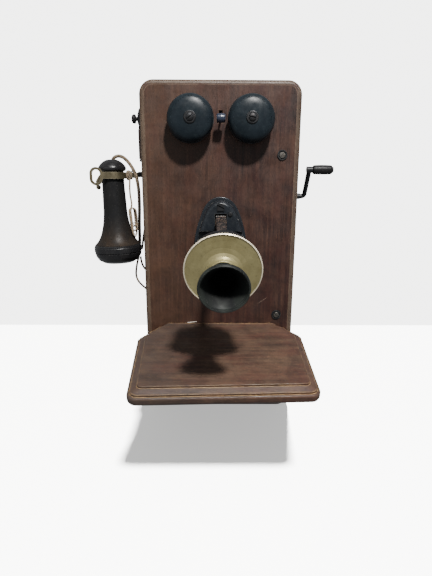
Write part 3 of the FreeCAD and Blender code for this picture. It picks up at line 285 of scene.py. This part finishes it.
def stroke(g, start, end, width):
    """White within half a width of a straight line, given in X and Z, with a frayed edge."""
    flat = g.put("ShaderNodeVectorMath", {"operation": "MULTIPLY"}, {0: g.place, 1: (1.0, 0.0, 1.0)})
    first = Vector((start[0], 0.0, start[1]))
    way = Vector((end[0] - start[0], 0.0, end[1] - start[1]))
    offset = g.put("ShaderNodeVectorMath", {"operation": "SUBTRACT"}, {0: flat, 1: first})
    along = g.put("ShaderNodeVectorMath", {"operation": "DOT_PRODUCT"},
                  {0: offset, 1: way / way.length_squared}, 1)
    along = g.math("ADD", along, 0.0, True)
    nearest = g.put("ShaderNodeVectorMath", {"operation": "SCALE"}, {0: way, "Scale": along})
    apart = g.put("ShaderNodeVectorMath", {"operation": "DISTANCE"}, {0: offset, 1: nearest}, 1)
    frayed = g.math("ADD", apart, g.math("MULTIPLY", g.noise(g.place, 0.9, 3.0), 0.9 * width))
    return g.ramp(g.math("DIVIDE", frayed, 2.0 * width), [(0.30, 1.0), (0.48, 0.0)])


def enamel(name, base, worn, rough, metal=0.0, wear=0.5, dust=(0.16, 0.15, 0.14), dust_amount=0.18,
           grain=0.5, coat=0.0, shine=0.32):
    """Old black or blue enamel: soft sheen, patches of dust, rubbed corners, fine pitting."""
    g = Graph(name)
    cloud = g.noise(g.place, 0.05, 4.0, 0.6)
    paler = tuple(c * 1.5 + 0.002 for c in base)
    colour = g.mix(g.ramp(cloud, [(0.3, 0.0), (0.75, 1.0)]), base, paler)
    film = g.ramp(g.noise(g.place, 0.16, 6.0, 0.7, 0.3), [(0.5, 0.0), (0.8, dust_amount)])
    colour = g.mix(film, colour, dust)
    rubbed = g.math("MULTIPLY", g.edges(0.9 * MM, 0.02, 0.2),
                    g.ramp(g.noise(g.place, 0.2, 4.0), [(0.42, 0.0), (0.6, 1.0)]))
    colour = g.mix(g.math("MULTIPLY", rubbed, wear), colour, worn)
    pits = g.noise(g.place, 1.1, 4.0, 0.6)
    uneven = g.noise(g.place, 0.12, 5.0, 0.65)
    roughness = g.ramp(uneven, [(0.3, rough - 0.08), (0.75, rough + 0.18)])
    normal = g.bump(pits, grain, 0.12 * MM)
    return g.finish(colour, roughness, normal, metal, shine, coat, 0.25)


def about_axis(g, centre, axis):
    """Distance out from an axis and distance along it, in millimetres."""
    offset = g.put("ShaderNodeVectorMath", {"operation": "SUBTRACT"}, {0: g.place, 1: centre})
    aside = g.put("ShaderNodeVectorMath", {"operation": "CROSS_PRODUCT"}, {0: offset, 1: axis})
    out = g.put("ShaderNodeVectorMath", {"operation": "LENGTH"}, {0: aside}, 1)
    along = g.put("ShaderNodeVectorMath", {"operation": "DOT_PRODUCT"}, {0: offset, 1: axis}, 1)
    return out, along


def brass(name, base, bright, stain, rough=0.42, edge=0.8, metal=0.85, rim=None):
    """Tarnished brass: green-brown stain, bright rubbed edges and fine scratches.

    rim is the centre and axis of a turned plate with the radius where its worn bright rim starts.
    """
    g = Graph(name)
    cloud = g.ramp(g.noise(g.place, 0.035, 5.0, 0.65, 0.5), [(0.35, 0.0), (0.7, 1.0)])
    colour = g.mix(cloud, base, stain)
    spots = g.ramp(g.noise(g.place, 0.4, 5.0, 0.7), [(0.58, 0.0), (0.7, 0.6)])
    colour = g.mix(spots, colour, tuple(c * 0.35 for c in stain))
    rubbed = g.edges(1.0 * MM, 0.015, 0.14)
    if rim is not None:
        out = about_axis(g, rim[0], rim[1])[0]
        share = g.put("ShaderNodeMapRange", {},
                      {"Value": out, "From Min": rim[2], "From Max": rim[2] + 0.5})
        rubbed = g.math("MAXIMUM", g.math("MULTIPLY", rubbed, 0.3), share)
    colour = g.mix(g.math("MULTIPLY", rubbed, edge), colour, bright)
    scratch = g.noise(g.scaled(g.place, (0.3, 2.4, 2.4), (0, 0, 0), (0.2, 0.4, 0.3)), 1.0, 4.0, 0.6)
    roughness = g.ramp(g.noise(g.place, 0.1, 4.0), [(0.3, rough - 0.08), (0.75, rough + 0.16)])
    return g.finish(colour, roughness, g.bump(scratch, 0.25, 0.08 * MM), metal, 0.5)


def rubber(name, base, fade, fade_at=None, rough=0.36, throat_shade=None, shine=0.32):
    """Black hard rubber that has gone brown where light and hands have faded it.

    The last argument gives a horn's centre and axis, with the depths between which painted shade
    darkens its inside almost to black.
    """
    g = Graph(name)
    drift = g.noise(g.scaled(g.place, (1.0, 1.0, 0.35)), 0.06, 5.0, 0.6, 0.3)
    amount = g.ramp(drift, [(0.4, 0.0), (0.75, 0.7)])
    if fade_at is not None:
        low, high = fade_at
        z = g.put("ShaderNodeSeparateXYZ", {}, {"Vector": g.place}, "Z")
        level = g.put("ShaderNodeMapRange", {}, {"Value": z, "From Min": low, "From Max": high,
                                                 "To Min": 1.0, "To Max": 0.1})
        amount = g.math("MULTIPLY", g.math("ADD", amount, 0.35), level, True)
    colour = g.mix(amount, base, fade)
    haze = g.ramp(g.noise(g.place, 0.5, 4.0, 0.7), [(0.62, 0.0), (0.74, 0.35)])
    colour = g.mix(haze, colour, (0.12, 0.11, 0.10))
    rubbed = g.math("MULTIPLY", g.edges(0.8 * MM, 0.02, 0.2), 0.45)
    colour = g.mix(rubbed, colour, tuple(c * 2.2 + 0.02 for c in fade))
    streak = g.noise(g.scaled(g.place, (0.5, 0.5, 3.0)), 1.0, 3.0)
    roughness = g.ramp(g.noise(g.place, 0.15, 5.0), [(0.3, rough - 0.08), (0.8, rough + 0.2)])
    if throat_shade is not None:
        along = about_axis(g, throat_shade[0], throat_shade[1])[1]
        # Painted shade: deeper inside the horn the colour darkens almost to black, standing for the
        # shadow in its mouth.
        painted_deep_shade = g.put("ShaderNodeMapRange", {},
                     {"Value": along, "From Min": throat_shade[3], "From Max": throat_shade[2]})
        colour = g.mix(painted_deep_shade, colour, (0.001, 0.001, 0.0012))
        roughness = g.math("ADD", roughness, g.math("MULTIPLY", painted_deep_shade, 0.4), True)
    return g.finish(colour, roughness, g.bump(streak, 0.15, 0.06 * MM), 0.0, shine)


def braid(name, pale, dark, turns):
    """Cotton braid over a cord, from the tube's own lengthwise and round coordinates."""
    g = Graph(name)
    parts = g.put("ShaderNodeSeparateXYZ", {}, {"Vector": g.uv})
    along, around = parts, parts.node.outputs["Y"]
    waves = []
    for way in (1.0, -1.0):
        phase = g.math("ADD", g.math("MULTIPLY", along, turns * 6.2832),
                       g.math("MULTIPLY", around, way * 4.0 * 6.2832))
        waves.append(g.math("SINE", phase))
    weave = g.math("MAXIMUM", waves[0], waves[1])
    shade = g.ramp(weave, [(0.1, dark), (0.9, pale)])
    dirt = g.ramp(g.noise(g.place, 0.09, 5.0, 0.7), [(0.42, 0.0), (0.7, 0.75)])
    colour = g.mix(dirt, shade, tuple(c * 0.5 for c in dark))
    fuzz = g.noise(g.place, 2.2, 3.0)
    height = g.math("ADD", g.math("MULTIPLY", weave, 0.6), g.math("MULTIPLY", fuzz, 0.5))
    material = g.finish(colour, 0.88, g.bump(height, 0.6, 0.25 * MM), 0.0, 0.2)
    g.shader.inputs["Sheen Weight"].default_value = 0.25
    return material


def plain_card(name, base, ink):
    """A cardboard sleeve with soft stains and two printed bands."""
    g = Graph(name)
    stain = g.ramp(g.noise(g.place, 0.05, 5.0, 0.6), [(0.4, 0.0), (0.75, 0.6)])
    colour = g.mix(stain, base, tuple(c * 0.55 for c in base))
    z = g.put("ShaderNodeSeparateXYZ", {}, {"Vector": g.place}, "Z")
    from_middle = g.math("ABSOLUTE", g.math("SUBTRACT", z, 86.0))
    away = g.math("ABSOLUTE", g.math("SUBTRACT", from_middle, 58.0))
    colour = g.mix(g.ramp(away, [(0.30, 1.0), (0.36, 0.0)]), colour, ink)
    fibre = g.noise(g.place, 1.5, 4.0)
    return g.finish(colour, 0.8, g.bump(fibre, 0.2, 0.1 * MM), 0.0, 0.25)


def winding(name, base, dark):
    """Fine insulated wire wound side by side."""
    g = Graph(name)
    wire = g.put("ShaderNodeTexWave", {"wave_type": "BANDS", "bands_direction": "DIAGONAL"},
                 {"Vector": g.place, "Scale": 0.35, "Distortion": 0.4, "Detail": 2.0}, 1)
    colour = g.mix(wire, dark, base)
    wax = g.ramp(g.noise(g.place, 0.2, 4.0), [(0.4, 0.0), (0.7, 0.5)])
    colour = g.mix(wax, colour, tuple(c * 0.6 for c in base))
    return g.finish(colour, 0.5, g.bump(wire, 0.5, 0.2 * MM), 0.0, 0.4)


def steel(name, base, rust, rough=0.4, rust_amount=0.5):
    """Bare or darkened steel with freckles of rust."""
    g = Graph(name)
    freckle = g.ramp(g.noise(g.place, 0.25, 6.0, 0.7), [(0.5, 0.0), (0.7, rust_amount)])
    colour = g.mix(freckle, base, rust)
    rubbed = g.math("MULTIPLY", g.edges(0.6 * MM), 0.4)
    colour = g.mix(rubbed, colour, tuple(min(1.0, c * 2.4) for c in base))
    brush = g.noise(g.scaled(g.place, (0.2, 3.0, 3.0)), 1.0, 4.0)
    roughness = g.ramp(g.noise(g.place, 0.1, 4.0), [(0.3, rough - 0.1), (0.75, rough + 0.18)])
    return g.finish(colour, roughness, g.bump(brush, 0.15, 0.06 * MM), 0.8, 0.5)


def dress(material, slot_name, *names):
    """Give CAD nodes a finished material in each of their slots."""
    for name in names:
        for slot in NODES[name].material_slots:
            slot.material = material


# ---- cords ---------------------------------------------------------------
def spline_points(name, route):
    """The smooth line of a route: its points steer one NURBS spline, read back as a mesh."""
    data = bpy.data.curves.new(name + "_line", "CURVE")
    data.dimensions = "3D"
    data.resolution_u = 12
    spline = data.splines.new("NURBS")
    spline.points.add(len(route) - 1)
    for point, place in zip(spline.points, route):
        point.co = (place[0] * MM, place[1] * MM, place[2] * MM, 1.0)
    spline.order_u = 3
    spline.use_endpoint_u = True
    holder = bpy.data.objects.new(name + "_line", data)
    bpy.context.scene.collection.objects.link(holder)
    bpy.context.view_layer.update()
    mesh = bpy.data.meshes.new_from_object(holder)
    line = [vertex.co.copy() for vertex in mesh.vertices]
    bpy.data.objects.remove(holder)
    bpy.data.meshes.remove(mesh)
    bpy.data.curves.remove(data)
    return line


def tube(name, line, diameter, material, around=16, swell=None):
    """A mesh tube along a line, with lengthwise and round coordinates for its braid."""
    shape = bmesh.new()
    layer = shape.loops.layers.uv.new("UVMap")
    side = (line[1] - line[0]).orthogonal().normalized()
    rings = []
    travelled = 0.0
    lengths = []
    for index, centre in enumerate(line):
        before = line[max(0, index - 1)]
        after = line[min(len(line) - 1, index + 1)]
        way = (after - before).normalized()
        side = (side - side.dot(way) * way).normalized()
        other = way.cross(side)
        travelled += (centre - line[max(0, index - 1)]).length
        lengths.append(travelled)
        radius = diameter / 2 * (swell(index / (len(line) - 1)) if swell else 1.0)
        ring = []
        for step in range(around):
            angle = 2 * math.pi * step / around
            outward = math.cos(angle) * side + math.sin(angle) * other
            ring.append(shape.verts.new(centre + radius * outward))
        rings.append(ring)
    for index, (ring, following) in enumerate(zip(rings, rings[1:])):
        for step in range(around):
            after = (step + 1) % around
            face = shape.faces.new((ring[step], ring[after], following[after], following[step]))
            face.smooth = True
            marks = ((index, step), (index, step + 1),
                     (index + 1, step + 1), (index + 1, step))
            for loop, (row, column) in zip(face.loops, marks):
                loop[layer].uv = (lengths[row] / diameter, column / around)
    shape.faces.new(list(reversed(rings[0])))
    shape.faces.new(rings[-1])
    mesh = bpy.data.meshes.new(name)
    shape.to_mesh(mesh)
    shape.free()
    mesh.materials.append(material)
    piece = bpy.data.objects.new(name, mesh)
    bpy.context.scene.collection.objects.link(piece)
    return piece


def whipped_end(share):
    """The cord swells where its last stretch is bound with thread."""
    return 1.0 + 0.25 * min(1.0, max(0.0, (share - 0.955) / 0.012))


def lashing_points():
    """Turns of the string round the shank: one layer out, then back over it."""
    points = []
    for step in range(LASHING_COUNT):
        turn = step / LASHING_STEPS
        over = LAYER_RISE * min(1.0, max(0.0, turn - LAYER_START))
        angle = math.radians(100) + 2 * math.pi * turn
        back = LASHING_PITCH * max(0.0, turn - LASHING_OUT)
        x = LASHING_X - LASHING_PITCH * min(turn, LASHING_OUT) + back
        y = SHANK_AT[0] + (LASHING_HALF[0] + over) * math.cos(angle)
        z = SHANK_AT[1] + (LASHING_HALF[1] + over) * math.sin(angle)
        points.append((x, y, z))
    return points


def hank_loop(along, side):
    """A place on an upright loop with straight sides: how far across and how far down."""
    fold = math.pi * HANK_FOLD
    if along < side:
        return -HANK_FOLD, along
    if along < side + fold:
        angle = (along - side) / HANK_FOLD
        return -HANK_FOLD * math.cos(angle), side + HANK_FOLD * math.sin(angle)
    if along < 2 * side + fold:
        return HANK_FOLD, 2 * side + fold - along
    angle = (along - 2 * side - fold) / HANK_FOLD
    return HANK_FOLD * math.cos(angle), -HANK_FOLD * math.sin(angle)


def hank_points():
    """Loops of the spare string: short ones face on, long ones edge on, so that they taper."""
    points = []
    for step in range(HANK_TURNS * HANK_STEPS + HANK_STEPS // 2):
        turn = step / HANK_STEPS
        facing = math.radians(40 + 36 * math.sin(2.3 * turn))
        side = HANK_SIDE[0] + HANK_SIDE[1] * math.sin(facing)
        whole = 2 * side + 2 * math.pi * HANK_FOLD
        across, down = hank_loop(turn % 1.0 * whole, side)
        x = HANK_AT[0] + HANK_LEAN * down + across * math.cos(facing)
        aside = HANK_SPREAD * (turn - HANK_TURNS / 2)
        y = HANK_AT[1] + across * math.sin(facing) + aside
        points.append((x, y, HANK_AT[2] - down))
    return points


def make_cords():
    tan = braid("cord_braid", (0.165, 0.122, 0.076), (0.060, 0.044, 0.028), 0.5)
    pale = braid("string_braid", (0.27, 0.20, 0.12), (0.075, 0.052, 0.032), 0.6)
    dark = braid("lead_braid", (0.26, 0.185, 0.115), (0.115, 0.080, 0.050), 0.4)
    main_line = spline_points("receiver_cord", CORD_ROUTE)
    main = tube("cord_main", main_line, CORD_D * BRAID_FUZZ, tan, 20, whipped_end)
    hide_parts("receiver_cord")
    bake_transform(main)
    for name, route in (("lead_low", LEAD_LOW), ("lead_middle", LEAD_MIDDLE), ("lead_high", LEAD_HIGH)):
        line = spline_points(name, route)
        piece = tube(name + "_braided", line, LEAD_D * BRAID_FUZZ, dark, 14)
        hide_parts(name)
        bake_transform(piece)
    bound, spare = lashing_points(), hank_points()
    string_line = spline_points("stay_string", bound + STAY_ROUTE + spare)
    total = len(bound) + len(STAY_ROUTE) + len(spare)
    doubled = (len(bound) / total, (len(bound) + len(STAY_ROUTE)) / total)
    string = tube("stay_string_hank", string_line, STRING_D, pale, 8,
                  lambda share: DOUBLED if doubled[0] < share < doubled[1] else 1.0)
    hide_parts("stay_string")
    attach(string, "hook")


# ---- stage and light -----------------------------------------------------
FLOOR_TONE = (0.45, 0.45, 0.438)
WALL_TONE = (0.80, 0.80, 0.78)
FLOOR_GLOW = 0.56
WALL_GLOW = 4.4
STAGE_ROUGH = 0.6
FLOOR_REACH = 4.0                # how far the floor goes to the sides and the front
FLOOR_EDGE = 0.345               # where it ends, behind the telephone
WALL_AT = 4.0                    # far enough to stay out of the way of views from behind
WALL_REACH = 8.0
WALL_LOW, WALL_HIGH = -4.0, 6.0


def make_plane(name, corners, colour, rough, glow):
    """One pale sheet of the studio. Its glow is for the eye only and lights nothing."""
    mesh = bpy.data.meshes.new(name)
    mesh.from_pydata(corners, [], [(0, 1, 2, 3)])
    piece = bpy.data.objects.new(name, mesh)
    bpy.context.scene.collection.objects.link(piece)
    g = Graph(name + "_finish")
    g.shader.inputs["Emission Color"].default_value = (1.0, 1.0, 0.985, 1.0)
    g.shader.inputs["Emission Strength"].default_value = glow
    mesh.materials.append(g.finish(colour, rough, None, 0.0, 0.4))
    piece.visible_diffuse = False
    piece.visible_glossy = False
    return piece


def make_stage():
    """A floor that ends behind the telephone, and far beyond it a pale sheet seen as the wall."""
    level = CAD_BOX[0][2]
    reach = FLOOR_REACH
    floor = make_plane("floor", [(-reach, -reach, level), (reach, -reach, level),
                                 (reach, FLOOR_EDGE, level), (-reach, FLOOR_EDGE, level)],
                       FLOOR_TONE, STAGE_ROUGH, FLOOR_GLOW)
    wide = WALL_REACH
    backdrop = make_plane("backdrop", [(-wide, WALL_AT, WALL_LOW), (wide, WALL_AT, WALL_LOW),
                                       (wide, WALL_AT, WALL_HIGH), (-wide, WALL_AT, WALL_HIGH)],
                          WALL_TONE, STAGE_ROUGH, WALL_GLOW)
    backdrop.visible_shadow = False
    return floor


def add_area(name, place, aim, size, power, colour=(1, 1, 1)):
    data = bpy.data.lights.new(name, "AREA")
    data.size = size
    data.energy = power
    data.color = colour
    lamp = bpy.data.objects.new(name, data)
    lamp.location = place
    lamp.rotation_euler = (Vector(aim) - Vector(place)).to_track_quat("-Z", "Y").to_euler()
    bpy.context.scene.collection.objects.link(lamp)
    return lamp


def light_group(name, members):
    """A collection used only to say what a lamp lights or is blocked by."""
    group = bpy.data.collections.new(name)
    for member in members:
        group.objects.link(member)
    return group


def make_lights(floor):
    """The key and fill light the telephone; a lamp overhead lights the floor alone."""
    aim = Vector((0.0, -0.1, 0.25))
    toward = Vector((0.15, -0.6, 0.78)).normalized()
    key = add_area("key", aim + toward * 1.9, aim, 0.15, 90.0, (1.0, 0.985, 0.96))
    unlit = light_group("not_lit_by_key", [floor])
    unlit.collection_objects[0].light_linking.link_state = "EXCLUDE"
    key.light_linking.receiver_collection = unlit
    add_area("fill", (-1.6, -1.9, 1.1), (0, 0, 0.25), 1.6, 4.0, (0.96, 0.98, 1.0))
    over = Vector((0.038, 0.30, 0.95)).normalized()
    data = bpy.data.lights.new("ceiling_lamp", "SUN")
    data.energy = 62.0
    data.angle = math.radians(2.0)
    lamp = bpy.data.objects.new("ceiling_lamp", data)
    lamp.rotation_euler = (-over).to_track_quat("-Z", "Y").to_euler()
    lamp.location = aim + over * 2.5
    bpy.context.scene.collection.objects.link(lamp)
    boards = ("door_board", "top_board", "side_left", "side_right", "backboard", "bottom_board")
    lamp.light_linking.receiver_collection = light_group("lit_by_ceiling_lamp", [floor])
    lamp.light_linking.blocker_collection = light_group("shading_the_floor",
                                                        [NODES[board] for board in boards])
    world = bpy.data.worlds.new("studio")
    world.use_nodes = True
    background = world.node_tree.nodes["Background"].inputs
    background["Color"].default_value = (0.93, 0.95, 0.97, 1.0)
    background["Strength"].default_value = 0.44
    bpy.context.scene.world = world


def dress_all():
    """One finished material for each kind of surface, put on the CAD nodes that have it."""
    split = ((-5.3, 503.0), (-5.0, 446.0), 0.55, (0.002, 0.0015, 0.0015))
    scratch = ((60.0, 178.7), (74.0, 187.8), 0.35, (0.22, 0.16, 0.12))
    # A short near-white streak drawn on the door just above the shelf.
    pale_streak = ((-50.0, 147.0), (-36.0, 148.6), 1.0, (0.85, 0.78, 0.68))
    door_tones = ((0.0082, 0.0043, 0.0038), (0.0262, 0.0124, 0.0096), (0.063, 0.0300, 0.0195))
    door = oak("oak_door", "z", door_tones, (0.15, 0.102, 0.07), 0.75, 0.43, 0.0,
               ((0.066, 0.034, 0.016), 20.0, -120.0, 0.45), (split, scratch, pale_streak),
               (107.4, 496.2, (0.115, 0.088, 0.062)))
    shelf_tones = ((0.018, 0.0108, 0.0081), (0.051, 0.029, 0.0202), (0.100, 0.061, 0.0383))
    shelf = oak("oak_shelf", "x", shelf_tones, (0.43, 0.275, 0.125), 0.95, 0.43, 31.0,
                ((0.040, 0.031, 0.027), 20.0, -115.0, 0.75))
    outside = ((0.016, 0.009, 0.0068), (0.045, 0.024, 0.017), (0.09, 0.052, 0.034))
    case = oak("oak_case", "z", outside, (0.20, 0.14, 0.095), 0.6, 0.44, 57.0)
    level = oak("oak_level", "x", outside, (0.20, 0.14, 0.095), 0.6, 0.44, 83.0)
    inner = oak("inner_wood", "x", ((0.12, 0.075, 0.042), (0.24, 0.155, 0.088), (0.36, 0.25, 0.15)),
                (0.5, 0.38, 0.25), 0.3, 0.6, 11.0)
    dress(door, "oak_door", "door_board")
    dress(shelf, "oak_shelf", "shelf")
    dress(case, "oak_case", "side_left", "side_right", "backboard")
    dress(level, "oak_case", "top_board", "bottom_board")
    dress(inner, "inner_wood", "inner_shelf", "terminal_block")
    gong = enamel("gong_enamel", (0.0045, 0.0072, 0.0098), (0.085, 0.095, 0.092), 0.31, 0.0, 0.7,
                  (0.026, 0.036, 0.040), 0.32, 0.30, 0.0, 0.16)
    dress(gong, "gong_metal", "gong_left", "gong_right")
    striker = enamel("striker_enamel", (0.010, 0.014, 0.026), (0.10, 0.11, 0.13), 0.28, 0.0, 0.5,
                     (0.05, 0.06, 0.08), 0.3, 0.25, 0.0, 0.4)
    dress(striker, "gong_metal", "clapper")
    iron = enamel("black_iron", (0.006, 0.0068, 0.0082), (0.10, 0.09, 0.075), 0.38, 0.0, 0.5,
                  (0.07, 0.066, 0.06), 0.2, 0.5, 0.0, 0.26)
    dress(iron, "black_iron", "crank_bush", "hook_escutcheon", "gong_posts", "transmitter_cup",
          "crank_arm", "hook_lever", "lock_rings")
    casting = enamel("casting_japan", (0.006, 0.0075, 0.0100), (0.16, 0.15, 0.13), 0.26, 0.0, 0.75,
                     (0.045, 0.05, 0.05), 0.25, 0.6, 0.0, 0.32)
    dress(casting, "black_iron", "transmitter_base")
    hinge = enamel("hinge_lacquer", (0.022, 0.013, 0.010), (0.10, 0.07, 0.05), 0.45, 0.0, 0.5,
                   (0.06, 0.045, 0.035), 0.3, 0.5, 0.0, 0.2)
    dress(hinge, "dark_steel", "case_hinges", "door_hinges")
    arm = enamel("arm_iron", (0.010, 0.009, 0.009), (0.24, 0.16, 0.11), 0.42, 0.2, 0.9,
                 (0.20, 0.13, 0.10), 0.8, 0.6)
    dress(arm, "black_iron", "arm")
    dark = steel("dark_steel", (0.045, 0.045, 0.048), (0.06, 0.035, 0.022), 0.42, 0.6)
    dress(dark, "dark_steel", "hook_bracket", "ringer_frame", "faceplate_screws", "crank_shaft")
    dull = steel("dull_steel", (0.020, 0.021, 0.023), (0.03, 0.022, 0.018), 0.5, 0.5)
    dress(dull, "dark_steel", "gong_screws", "base_screws", "pivot_bolt")
    worn_steel = steel("worn_steel", (0.085, 0.080, 0.072), (0.04, 0.03, 0.022), 0.5, 0.5)
    dress(worn_steel, "dark_steel", "lock_screw_lower", "lock_screw_upper")
    grey = steel("grey_steel", (0.32, 0.32, 0.31), (0.10, 0.055, 0.03), 0.38, 0.4)
    dress(grey, "grey_steel", "magneto_frame", "condenser", "clapper_armature", "armature",
          "receiver_magnet")
    red = enamel("magnet_paint", (0.10, 0.018, 0.012), (0.16, 0.15, 0.14), 0.45, 0.0, 0.6)
    dress(red, "magnet_steel", "magneto_magnets")
    low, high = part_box("faceplate")
    plate_middle = (Vector(low) + Vector(high)) / 2 / MM
    plate_axis = Vector((0.0, -math.cos(TRANSMITTER_TILT), -math.sin(TRANSMITTER_TILT)))
    plate = brass("plate_brass", (0.285, 0.25, 0.122), (0.88, 0.78, 0.60), (0.20, 0.17, 0.075),
                  0.46, 0.9, 0.6, (plate_middle, plate_axis, 45.5))
    dress(plate, "aged_brass", "faceplate")
    fork = brass("fork_brass", (0.185, 0.158, 0.10), (0.50, 0.45, 0.33), (0.07, 0.06, 0.035), 0.42, 0.7)
    dress(fork, "bronze", "hook_fork")
    inner_brass = brass("inner_brass", (0.42, 0.30, 0.12), (0.75, 0.6, 0.3), (0.25, 0.17, 0.07),
                        0.35, 0.6)
    dress(inner_brass, "aged_brass", "strike_plates", "contact_springs", "button_spring", "drive_gear")
    # The mouthpiece's inside gets painted shade, darkening almost to black from 42 mm to 26 mm along
    # its axis, towards the plate.
    horn = rubber("horn_rubber", (0.007, 0.0078, 0.0080), (0.027, 0.032, 0.027), None, 0.48,
                  (plate_middle, plate_axis, 26.0, 42.0), 0.13)
    dress(horn, "hard_rubber", "mouthpiece")
    ebonite = rubber("black_rubber", (0.006, 0.006, 0.0065), (0.014, 0.013, 0.013), None, 0.42,
                     None, 0.18)
    dress(ebonite, "hard_rubber", "crank_grip", "push_button", "button_housing")
    polished = rubber("polished_rubber", (0.007, 0.007, 0.0078), (0.016, 0.015, 0.015), None, 0.26,
                      None, 0.34)
    dress(polished, "hard_rubber", "receiver_cap", "ear_cap")
    receiver = rubber("receiver_rubber", (0.0080, 0.0085, 0.0092), (0.027, 0.0185, 0.0122),
                      (264.0, 312.0), 0.38, None, 0.11)
    dress(receiver, "hard_rubber", "receiver_shell")
    coil = winding("coil_wrap", (0.10, 0.14, 0.07), (0.025, 0.035, 0.02))
    dress(coil, "coil_wrap", "induction_coil", "ringer_coils")
    dress(plain_card("cell_card", (0.50, 0.40, 0.24), (0.22, 0.05, 0.03)), "cell_card", "dry_cells")
    carbon = steel("carbon", (0.03, 0.03, 0.032), (0.02, 0.02, 0.02), 0.6, 0.2)
    dress(carbon, "carbon", "transmitter_capsule")


make_camera()
make_cords()
dress_all()
make_lights(make_stage())
